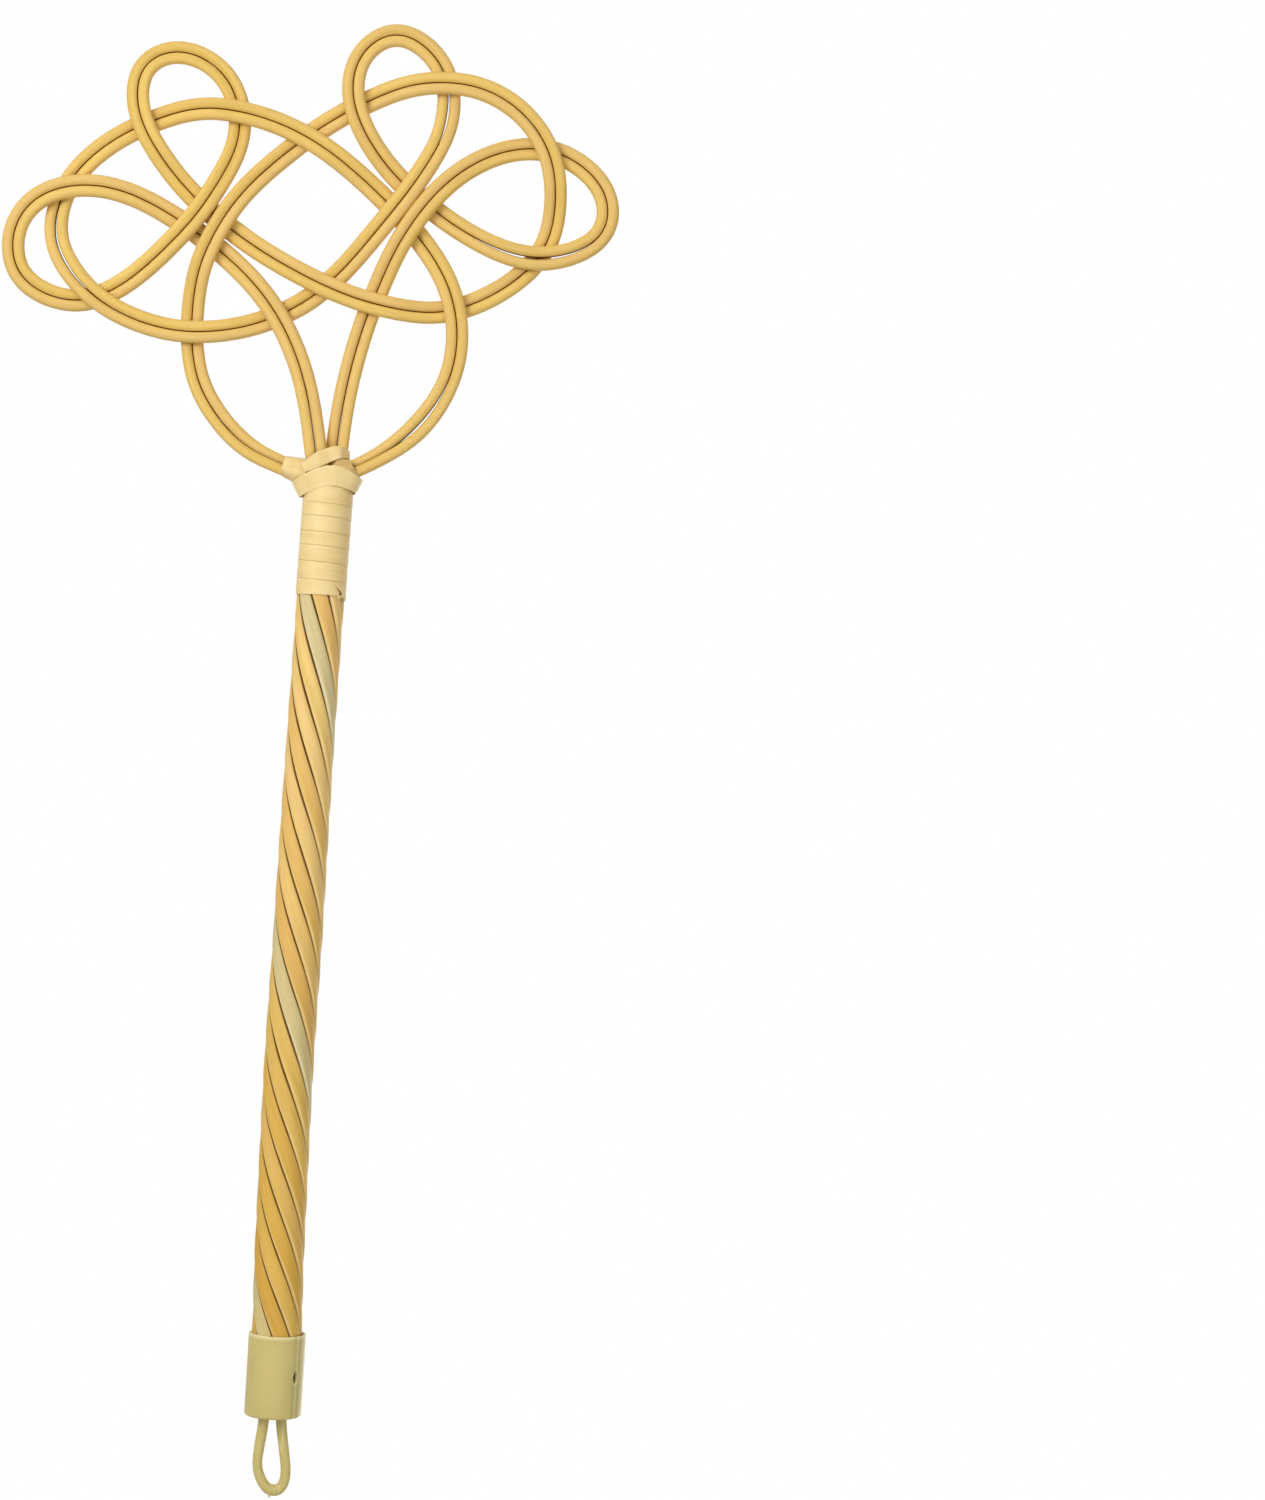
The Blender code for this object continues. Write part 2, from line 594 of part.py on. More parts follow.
def turned(profile, segments):
    """A solid turned about Z from a profile of (radius, height) points that starts and ends on the axis."""
    made = bmesh.new()
    rows = []
    for radius, height in profile:
        if radius == 0:
            rows.append([made.verts.new((0.0, 0.0, height))])
            continue
        angles = np.arange(segments) * FULL_TURN / segments
        rows.append([made.verts.new((radius * math.cos(a), radius * math.sin(a), height)) for a in angles])
    for row, following in zip(rows, rows[1:]):
        for i in range(segments):
            j = (i + 1) % segments
            corners = [row[i % len(row)], row[j % len(row)]]
            corners += [following[j % len(following)], following[i % len(following)]]
            made.faces.new(list(dict.fromkeys(corners)))
    return made


def arc(centre_radius, centre_height, radius, from_degrees, to_degrees, steps):
    """Points of a round corner in a turned profile."""
    angles = np.radians(np.linspace(from_degrees, to_degrees, steps + 1))
    return [(centre_radius + radius * math.cos(a), centre_height + radius * math.sin(a)) for a in angles]


def box(low, high):
    made = bmesh.new()
    bmesh.ops.create_cube(made, size=1)
    size = np.array(high) - np.array(low)
    middle = (np.array(high) + np.array(low)) / 2
    bmesh.ops.scale(made, vec=size, verts=made.verts)
    bmesh.ops.translate(made, vec=middle, verts=made.verts)
    return made


def combine(target, tool, operation):
    """Joins or cuts with a helper, which stays in the file for later changes."""
    modifier = target.modifiers.new(f"{operation.lower()} {tool.name}", "BOOLEAN")
    modifier.object = tool
    modifier.operation = operation
    modifier.solver = "EXACT"


def make_canes():
    """The four woven canes and the filler, each one unbroken piece."""
    left, right = woven_pairs()
    run = STRAND_END_Z - NECK_Z
    short_run = FILLER_LAP - FILLER_END_GAP
    plans = (
        ("left_outer_cane", left, 1, PAIR_ROLL, LEFT_PAIR_FIRST_SLOTS[0], LEFT_PAIR_LAST_SLOTS[0]),
        ("left_inner_cane", left, -1, PAIR_ROLL, LEFT_PAIR_FIRST_SLOTS[1], LEFT_PAIR_LAST_SLOTS[1]),
        ("right_outer_cane", right, -1, -PAIR_ROLL, RIGHT_PAIR_FIRST_SLOTS[0], RIGHT_PAIR_LAST_SLOTS[0]),
        ("right_inner_cane", right, 1, -PAIR_ROLL, RIGHT_PAIR_FIRST_SLOTS[1], RIGHT_PAIR_LAST_SLOTS[1]),
    )
    canes, near_neck = {}, []
    for name, pair, side, roll, *slots in plans:
        runs = [short_run if slot == FILLER_SLOT else run for slot in slots]
        path = cane_path(pair, side, roll, slots, runs)
        near_neck.append(path.near_neck())
        canes[name] = make_object(name, tube(path.rings()), "golden")
    filler = strand_path(FILLER_SLOT, FILLER_LAP, run)
    canes["filler_cane"] = make_object("filler_cane", tube(filler.rings()), "pale")
    return canes, np.concatenate(near_neck)


def make_core():
    """The rod inside the ring of strands, bowed as the handle is."""
    places = np.linspace(CORE_TOP_INSET, STRAND_END_Z - NECK_Z, CORE_STATIONS)
    points = np.stack([axis_across(places), -places, np.zeros_like(places)], axis=1)
    angles = np.arange(CORE_SIDES) * FULL_TURN / CORE_SIDES
    section = np.stack([np.cos(angles), np.zeros_like(angles), np.sin(angles)], axis=1) * CORE_RADIUS
    return make_object("handle_core", tube(to_object(points[:, None] + section[None])), "wood")


def binding_rings():
    """Rings of corners of the strip wound round the top of the handle, its inside clear of the strands."""
    pitch = STRIP_WIDTH + STRIP_GAP
    last = (BINDING_LENGTH + BINDING_TOP - STRIP_WIDTH) / pitch * FULL_TURN
    count = round((last - BINDING_TIP) / FULL_TURN * BINDING_POINTS_PER_TURN) + 1
    angles = np.linspace(BINDING_TIP, last, count)
    lower = STRIP_WIDTH - BINDING_TOP + angles / FULL_TURN * pitch
    grown = np.clip((angles - BINDING_TIP) / (BINDING_FULL - BINDING_TIP), 0.0, 1.0)
    upper = lower - STRIP_WIDTH * (BINDING_TIP_SHARE + (1 - BINDING_TIP_SHARE) * grown)
    inner = (HANDLE_DIAMETER / 2 + STRIP_CLEARANCE) / math.cos(math.pi / BINDING_POINTS_PER_TURN)
    outer = inner + STRIP_THICKNESS
    rings = []
    for angle, top, bottom in zip(angles, upper, lower):
        rings.append([
            (axis_across(below) + radius * math.sin(angle), -below, radius * math.cos(angle))
            for radius, below in ((inner, top), (outer, top), (outer, bottom), (inner, bottom))
        ])
    return np.array(rings)


def make_binding():
    """The neck binding; also returns points all over its upper turns, which the lashing has to clear."""
    rings = binding_rings()
    print("neck binding, least gap between its turns:", round(STRIP_GAP / MM, 2), "mm")
    make_object("neck_binding", tube(to_object(rings)), "strip")
    upper_turns = np.roll(rings[: 2 * BINDING_POINTS_PER_TURN], 1, axis=1)
    shares = np.arange(BINDING_SUBDIVISIONS) / BINDING_SUBDIVISIONS
    fine = [upper_turns[:-1] * (1 - share) + upper_turns[1:] * share for share in shares]
    return strip_faces(np.concatenate(fine)).reshape(-1, 3)


def least_gap(faces, apart):
    """The least distance between points on a strip that are further apart than this along it."""
    along = lengths_along(faces.mean(axis=1))
    least = math.inf
    for place, row in zip(along, faces):
        others = faces[along > place + apart].reshape(-1, 3)
        if len(others):
            least = min(least, np.linalg.norm(row[:, None] - others[None], axis=2).min())
    return least


def strip_faces(corners):
    """Points over both faces of a strip, from the four corners of each of its sections."""
    share = np.linspace(0.0, 1.0, STRIP_FACE_POINTS)[None, :, None]
    inner = corners[:, None, 0] * (1 - share) + corners[:, None, 1] * share
    outer = corners[:, None, 3] * (1 - share) + corners[:, None, 2] * share
    return np.concatenate([inner, outer], axis=1)


def lashing_route():
    """The lashing's places inside the bundle, its ways out and its widths, read off smoothly."""
    rows = np.array([(*place, *way, width) for place, way, width in LASHING_SHARES])
    marks = np.arange(len(rows))
    fine = np.linspace(0, len(rows) - 1, (len(rows) - 1) * LASHING_SUBDIVISIONS + 1)
    route = np.stack([np.interp(fine, marks, column) for column in rows.T], axis=1)
    for _ in range(LASHING_SUBDIVISIONS):
        route[1:-1] = (route[:-2] + 2 * route[1:-1] + route[2:]) / 4
    return route[:, :3] * HANDLE_DIAMETER, unit(route[:, 3:6]), route[:, 6] * LASHING_WIDTH


def among_neighbours(values, reach, pick):
    """Each value replaced by what is picked from it and its neighbours up to this many places away."""
    padded = np.pad(values, reach, mode="edge")
    return pick(np.stack([padded[i : i + len(values)] for i in range(2 * reach + 1)]), axis=0)


def lashing_corners(passed_over):
    """The strip's four corners at each place, clear of what it passes over and of its own earlier turns."""
    places, ways, widths = lashing_route()
    heights = np.full(len(places), LASHING_FIRST_HEIGHT_SHARE * HANDLE_DIAMETER)
    for _ in range(LASHING_ROUNDS):
        inner = places + ways * heights[:, None]
        travel = directions_along(inner)
        side = unit(np.cross(travel, ways))
        run = np.cross(ways, side)
        half = side * widths[:, None] / 2
        outer = inner + ways * LASHING_THICKNESS
        corners = np.stack([inner - half, inner + half, outer + half, outer - half], axis=1)
        faces = strip_faces(corners)
        along = lengths_along(inner)
        needed = np.zeros(len(places))
        for i, place in enumerate(places):
            earlier = faces[along < along[i] - LASHING_WIDTH].reshape(-1, 3)
            for passed, gap, reach in (
                (passed_over, LASHING_CLEARANCE, LASHING_REACH),
                (earlier, LASHING_LAYER_GAP, LASHING_OWN_REACH),
            ):
                apart = passed - place
                height = apart @ ways[i]
                near = (np.abs(apart @ run[i]) < LASHING_WINDOW) & (height > 0) & (height < reach)
                near &= np.abs(apart @ side[i]) < widths[i] / 2 + LASHING_MARGIN
                if near.any():
                    needed[i] = max(needed[i], height[near].max() + gap)
        heights = np.maximum(needed, among_neighbours(among_neighbours(needed, 1, np.max), 1, np.mean))
    return corners


def make_lashing(passed_over):
    """The strip laid over the place where the pairs part."""
    corners = lashing_corners(passed_over)
    gap = least_gap(strip_faces(corners), LASHING_APART_SHARE * LASHING_WIDTH)
    print("collar lashing, least gap to itself:", round(gap / MM, 2), "mm")
    return make_object("collar_lashing", tube(to_object(corners)), "strip")


def loop_line():
    """The hanging loop's centre line, from one foot to the other, as (side, height) about the hook."""
    top = LOOP_DIAMETER / 2
    centre = top - LOOP_ARC_RADIUS
    foot = CAP_END_Z - CAP_BAR_INSET - LOOP_DIAMETER / 2
    drop = centre - foot
    # the legs run straight and meet the arc where they touch it
    lean = math.atan2(LOOP_FOOT_HALF_SPACING, drop)
    reach = math.hypot(LOOP_FOOT_HALF_SPACING, drop)
    touch = math.acos(LOOP_ARC_RADIUS / reach) + lean
    angles = np.linspace(-math.pi / 2 + touch, FULL_TURN - math.pi / 2 - touch, LOOP_ARC_STEPS + 1)
    line = [(LOOP_FOOT_HALF_SPACING, foot)]
    line += [(LOOP_ARC_RADIUS * math.cos(a), centre + LOOP_ARC_RADIUS * math.sin(a)) for a in angles]
    line.append((-LOOP_FOOT_HALF_SPACING, foot))
    return np.array(line), foot


def loop_rings():
    """Rings of corners along the hanging loop, which leans from the handle's axis to the hook."""
    line, foot = loop_line()
    travel = directions_along(line)
    turn = np.arange(LOOP_SIDES) * FULL_TURN / LOOP_SIDES
    radius = LOOP_DIAMETER / 2
    rings = []
    for (side, height), (run, rise) in zip(line, travel):
        lean = HOOK_OFFSET * np.clip(height / foot, 0.0, 1.0)
        wide, deep = radius * np.cos(turn), radius * np.sin(turn)
        rings.append(np.stack([lean + side - rise * wide, deep, height + run * wide], axis=1))
    return rings


def make_cap(nail_angle):
    """The end cap: cup, recessed end with its cross bar and rib, and the hanging loop, in one moulding."""
    outer = CAP_DIAMETER / 2
    rim = CAP_RIM_ROUND
    profile = [(0.0, CAP_FLOOR_UNDER_Z), (CAP_BORE_RADIUS, CAP_FLOOR_UNDER_Z), (CAP_BORE_RADIUS, CAP_MOUTH_Z)]
    profile += arc(outer - rim, CAP_MOUTH_Z + rim, rim, -90, 0, RIM_STEPS)
    profile += arc(outer - rim, CAP_END_Z - rim, rim, 0, 90, RIM_STEPS)
    profile += [(CAP_BORE_RADIUS, CAP_END_Z), (CAP_BORE_RADIUS, CAP_FLOOR_TOP_Z), (0.0, CAP_FLOOR_TOP_Z)]
    cap_maker = turned(profile, CAP_SEGMENTS)
    bmesh.ops.translate(cap_maker, vec=(HOOK_OFFSET, 0.0, 0.0), verts=cap_maker.verts)
    cap = make_object("end_cap", cap_maker, "cap")
    # the bars reach into the wall and the floor, so that each union has a clear overlap
    reach = (CAP_BORE_RADIUS + outer) / 2
    floor_middle = (CAP_FLOOR_TOP_Z + CAP_FLOOR_UNDER_Z) / 2
    bar_top = CAP_END_Z - CAP_BAR_INSET
    bar_low = (HOOK_OFFSET - reach, -CAP_BAR_WIDTH / 2, floor_middle)
    bar = make_object("cap_bar_helper", box(bar_low, (HOOK_OFFSET + reach, CAP_BAR_WIDTH / 2, bar_top)))
    rib_low = (HOOK_OFFSET - CAP_RIB_WIDTH / 2, -reach, floor_middle)
    rib_high = (HOOK_OFFSET + CAP_RIB_WIDTH / 2, reach, CAP_FLOOR_TOP_Z + CAP_RIB_DEPTH)
    rib = make_object("cap_rib_helper", box(rib_low, rib_high))
    loop = make_object("cap_loop_helper", tube(loop_rings()))
    hole_size = NAIL_HOLE_WIDTH, NAIL_HOLE_HEIGHT
    hole = nail_cutter("cap_hole_helper", nail_angle, *hole_size, HANDLE_DIAMETER / 2, CAP_DIAMETER)
    combine(cap, bar, "UNION")
    combine(cap, rib, "UNION")
    combine(cap, loop, "UNION")
    combine(cap, hole, "DIFFERENCE")
    return cap


# The nail


def nail_frame(angle):
    """The nail's place on the handle's axis and its outward and sideways directions."""
    below = CAP_END_Z - NAIL_DROP - NECK_Z
    centre = to_object([axis_across(below), -below, 0.0])
    outward = np.array([-math.sin(angle), -math.cos(angle), 0.0])
    sideways = np.array([math.cos(angle), -math.sin(angle), 0.0])
    return centre, outward, sideways


def nail_rings(angle, stations):
    """Rings about the nail's axis from (distance from the handle's axis, half width, half height)."""
    centre, outward, sideways = nail_frame(angle)
    upward = np.array([0.0, 0.0, 1.0])
    turn = (np.arange(NAIL_SIDES) * FULL_TURN / NAIL_SIDES)[:, None]
    return [
        centre + outward * distance + sideways * half_width * np.cos(turn) + upward * half_height * np.sin(turn)
        for distance, half_width, half_height in stations
    ]


def nail_cutter(name, angle, width, height, inner, outer):
    stations = ((inner, width / 2, height / 2), (outer, width / 2, height / 2))
    return make_object(name, tube(nail_rings(angle, stations)))


def make_nail(angle, cane, core):
    """A small nail, its head sunk in the cap's hole and its shank through a strand into the core."""
    shank, head = NAIL_SHANK_DIAMETER / 2, NAIL_HEAD_DIAMETER / 2
    head_under = HANDLE_DIAMETER / 2 + NAIL_SINK
    head_top = head_under + NAIL_HEAD_THICKNESS
    tip = head_under - NAIL_LENGTH
    taper = tip + NAIL_SHANK_DIAMETER
    stations = (
        (tip, shank / 4, shank / 4), (taper, shank, shank), (head_under, shank, shank),
        (head_under, head, head), (head_top - NAIL_HEAD_THICKNESS / 2, head, head),
        (head_top, head / 2, head / 2),
    )
    nail = make_object("cap_nail", tube(nail_rings(angle, stations)), "steel")
    bore = shank + NAIL_BORE_CLEARANCE
    cutter = nail_cutter("nail_bore_helper", angle, 2 * bore, 2 * bore, tip - NAIL_BORE_CLEARANCE, CAP_DIAMETER)
    combine(cane, cutter, "DIFFERENCE")
    combine(core, cutter, "DIFFERENCE")
    return nail


def main():
    for old in list(bpy.data.objects):
        bpy.data.objects.remove(old, do_unlink=True)
    canes, canes_near_neck = make_canes()
    core = make_core()
    binding_points = make_binding()
    make_lashing(np.concatenate([canes_near_neck, binding_points]))
    # the nail goes through the strand that starts at the front left
    nail_angle = float(strand_angle(LEFT_PAIR_LAST_SLOTS[0], CAP_END_Z - NAIL_DROP - NECK_Z))
    make_cap(nail_angle)
    make_nail(nail_angle, canes["left_outer_cane"], core)


main()
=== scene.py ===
"""A carpet beater: four long canes woven into a flat head, their ends twisted into a handle.

It hangs from its loop with the head down. All lengths are in metres. The head is drawn as seen from the front
with the head uppermost. There, across runs to the viewer's right, out runs from the neck towards the head's
far edge, and front runs towards the viewer.
"""

import math

import bmesh
import bpy
import numpy as np
from mathutils import Matrix


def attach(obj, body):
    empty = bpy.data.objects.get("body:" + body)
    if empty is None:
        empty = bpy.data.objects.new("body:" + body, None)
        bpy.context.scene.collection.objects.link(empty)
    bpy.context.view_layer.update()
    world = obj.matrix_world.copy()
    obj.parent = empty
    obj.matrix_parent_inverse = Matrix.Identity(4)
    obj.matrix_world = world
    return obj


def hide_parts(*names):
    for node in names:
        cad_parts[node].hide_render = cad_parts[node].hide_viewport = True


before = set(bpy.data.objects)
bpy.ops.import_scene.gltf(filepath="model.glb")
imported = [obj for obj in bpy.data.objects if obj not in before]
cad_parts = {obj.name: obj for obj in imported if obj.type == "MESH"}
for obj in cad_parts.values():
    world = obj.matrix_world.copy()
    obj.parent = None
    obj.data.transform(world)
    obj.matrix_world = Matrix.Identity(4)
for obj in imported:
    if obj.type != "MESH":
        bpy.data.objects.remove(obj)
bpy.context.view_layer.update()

# Canes: round in the head, flattened where they are the strands of the handle
CANE_DIAMETER = 0.00535
PAIR_CLEARANCE = -0.00002  # the canes of a pair press on each other
END_GAP = 0.0003
STRAND_GAP = 0.00058
CANE_SIDES = 24
CANE_SQUARENESS = 2.25  # 2 is round; a cane's sides are pressed a little flat
STRAND_SQUARENESS = 2.35
STRAND_TILT = math.radians(5)  # each strand stands proud at its left edge
CANE_UNEVENNESS = 0.012
CANE_WAVES = (0.011, 0.019, 0.037, 0.083)  # half the lengths of the waves in a cane's thickness
FILLER_TONE = 0.8

# Woven head: the span is measured between the outermost centre lines of the two side loops
HEAD_SPAN = 0.282

# Fineness of the curves
DENSE_STEP = 0.0010
STRAND_STEP = 0.0020
HEAD_EVERY = 2  # the canes in the head take every second point of their pair's line
READINGS_PER_POINT = 40
TWIST_ROWS = 2000

FULL_TURN = 2 * math.pi

# The centre line of each pair of canes, as shares of HEAD_SPAN across and out from the neck
LEFT_PAIR_SHARES = (
    # from the collar's left side up through the left centre
    (-0.076, 0.047), (-0.145, 0.079), (-0.210, 0.146), (-0.241, 0.220), (-0.239, 0.364), (-0.141, 0.540),
    # the large right loop and its lower arc
    (0.030, 0.672), (0.121, 0.703), (0.205, 0.703), (0.281, 0.669), (0.337, 0.600), (0.353, 0.512),
    (0.334, 0.433), (0.268, 0.365), (0.173, 0.324), (0.078, 0.325), (-0.013, 0.349), (-0.136, 0.407),
    # the small loop at the top left
    (-0.252, 0.489), (-0.319, 0.562), (-0.356, 0.635), (-0.349, 0.704), (-0.292, 0.733), (-0.217, 0.698),
    (-0.187, 0.613), (-0.214, 0.519), (-0.281, 0.419),
    # the left side loop
    (-0.389, 0.325), (-0.466, 0.307), (-0.540, 0.345), (-0.550, 0.424), (-0.500, 0.482), (-0.413, 0.498),
    # back to the middle of the collar
    (-0.319, 0.472), (-0.201, 0.399), (-0.110, 0.309), (-0.052, 0.195), (-0.024, 0.075),
)
RIGHT_PAIR_SHARES = (
    # from the collar's right side up through the right centre
    (0.046, 0.052), (0.061, 0.060), (0.124, 0.105), (0.184, 0.187), (0.202, 0.271), (0.185, 0.357),
    (0.129, 0.443), (0.031, 0.535),
    # the large left loop and its lower arc
    (-0.099, 0.614), (-0.237, 0.640), (-0.329, 0.618), (-0.417, 0.564), (-0.474, 0.491), (-0.484, 0.413),
    (-0.448, 0.347), (-0.391, 0.300), (-0.303, 0.268), (-0.197, 0.268), (-0.092, 0.307), (-0.011, 0.371),
    # the small loop at the top right
    (0.134, 0.568), (0.163, 0.662), (0.146, 0.738), (0.076, 0.784), (0.018, 0.751), (0.003, 0.680),
    (0.036, 0.601), (0.109, 0.524),
    # the right side loop
    (0.237, 0.443), (0.343, 0.422), (0.431, 0.466), (0.434, 0.539), (0.362, 0.599), (0.266, 0.600),
    # back to the middle of the collar
    (0.154, 0.521), (0.060, 0.348), (0.019, 0.180), (0.010, 0.093),
)

# Where a pair opens a little: the place and the reach as shares of its run, and the opening
LEFT_PAIR_PARTINGS = ()
RIGHT_PAIR_PARTINGS = (
    (0.032, 0.026, 0.0009), (0.334, 0.030, 0.0007), (0.556, 0.016, 0.0007), (0.748, 0.032, 0.0009),
)

# What each pair does at its crossings, from its first end to its last: O passes over, U under
LEFT_PAIR_WEAVE = "UOOUUOOUUOOUUOUOOUOUUO"
RIGHT_PAIR_WEAVE = "OUUOOUUOOUUOOUOUUOUOOU"

# Handle, from the hook downwards
LOOP_REACH = 0.0334
CAP_LENGTH = 0.0392
GRIP_LENGTH = 0.3517
BINDING_LENGTH = 0.0463
HANDLE_DIAMETER = 0.0238
STRAND_THICKNESS = 0.0030
HOOK_OFFSET = 0.0015  # the loop leans, so the hook bears this far to the side of the handle's axis

# The handle bows to the left between the neck and the cap. Nearer the cap it leans a little further that way.
HANDLE_BOW = 0.0017
HANDLE_LEAN = 0.0009

# Where it leans and comes back, as shares of the run to the cap, and how much of the lean is lost again
LEAN_FROM_SHARE = 0.50
LEAN_RUN_SHARE = 0.20
LEAN_BACK_FROM_SHARE = 0.90
LEAN_LOST_SHARE = 0.60

# The twist starts inside the binding, eases in, and tightens slowly towards the cap
TWIST_START = 0.0215
TWIST_EASE = 0.0240
TWIST_PITCH_AT_NECK = 0.1830
TWIST_PITCH_AT_CAP = 0.1640

# Where the ends of each pair stand in the ring of strands, in degrees from the front: outer cane, inner cane
LEFT_PAIR_FIRST_SLOTS = (-67.5, -112.5)
LEFT_PAIR_LAST_SLOTS = (-22.5, -157.5)
RIGHT_PAIR_FIRST_SLOTS = (67.5, 112.5)
RIGHT_PAIR_LAST_SLOTS = (157.5, 22.5)
FILLER_SLOT = -67.5
FILLER_LAP = 0.0120  # this far from the neck towards the cap the filler takes over from a cane's end
FILLER_END_GAP = 0.0010

# Near the neck each pair's first end rolls, its lower cane to the front, and its last end opens a little
PAIR_ROLL = math.radians(42)
PAIR_OPENING = 0.0001
NECK_RUN = 0.0450

# How the canes turn from the head into the ring: the reach of the curve's ends as shares of its chord
TURN_HEAD_SHARE = 0.30
TURN_RING_SHARE = 0.42

# Neck binding: one flat strip, wound edge to edge
STRIP_THICKNESS = 0.0006
STRIP_CLEARANCE = 0.0001
STRIP_SEAM = 0.00005  # between one turn and the next
STRIP_TILT = math.radians(0.8)
STRIP_SIDES = 28
STRIP_SQUARENESS = 7.0
BINDING_POINTS_PER_TURN = 72
BINDING_TIP = math.radians(-90)  # it starts narrow at the left side
BINDING_FULL = math.radians(-25)  # and has its full width from here on
BINDING_TIP_SHARE = 0.2
BINDING_FLATTENING = 0.55  # how much flatter it runs at the front than at the back
BINDING_LEVEL_FROM = math.radians(5 * 360 + 180)
BINDING_LEVEL_RUN = math.radians(90)
BINDING_END = math.radians(6 * 360 + 52)
BINDING_CLOSING = math.radians(16)  # it narrows over this much of its last turn
BINDING_END_SHARE = 0.3
BINDING_TURNS_PASSED = 2  # its first turns, over which the lashing may pass
BINDING_POINTS_ACROSS = 9

# How far the strands are pressed inwards under the binding and in the grip, and over what length that changes
BINDING_SQUEEZE = 0.0007
GRIP_SQUEEZE = 0.0002
SQUEEZE_RUN = 0.1900

# Where each turn's lower edge crosses the front, below the neck; the first is the upper edge of them all
BINDING_EDGES = (-0.0046, 0.0036, 0.0098, 0.0174, 0.0238, 0.0315, 0.0400, 0.0471)

# The folded tail: degrees from the front, its two edges below the neck, and how many thicknesses it is raised
TAIL_PLACES = (
    (31, 0.0407, 0.0411, 1.15), (45, 0.0406, 0.0434, 1.15), (58, 0.0407, 0.0456, 1.1),
    (66, 0.0408, 0.0480, 0.9), (78, 0.0410, 0.0491, 0.5), (90, 0.0412, 0.0492, 0.1),
    (110, 0.0416, 0.0486, 0.0), (135, 0.0421, 0.0469, 0.0), (165, 0.0430, 0.0436, 0.0),
)
TAIL_POINTS = 60

# The tail's small tuck: degrees from the front and distance below the neck of its two ends
TUCK_ENDS = ((66, 0.0468), (48, 0.0477))
TUCK_WIDTH = 0.0013
TUCK_RAISED_SHARE = 0.7  # of a thickness
TUCK_POINTS = 12

# Collar lashing: one flat strip over the place where the pairs part
LASHING_WIDTH = 0.0090
LASHING_THICKNESS = 0.0006
LASHING_CLEARANCE = 0.0001
LASHING_LAYER_GAP = 0.0001
LASHING_WINDOW = 0.0013  # at each place it has to clear what lies this near along it
LASHING_MARGIN = 0.0003  # and up to this far beside its edges
LASHING_REACH = 0.0048  # how far out from its place inside the bundle other pieces can lift it
LASHING_OWN_REACH = 0.0062  # and how far its own earlier turns can
LASHING_SUBDIVISIONS = 4  # steps from one given place to the next, and rounds of smoothing
LASHING_POINTS_ACROSS = 7
LASHING_ROUNDS = 7  # of laying it down and reading off how far out it has to lie
LASHING_FIRST_HEIGHT_SHARE = 0.25  # of HANDLE_DIAMETER, how far out it lies in the first of them
LASHING_FINE_STEP = 0.0009
LASHING_SHADED_SHARE = 0.16  # of its length, over which the shade at its hidden start fades

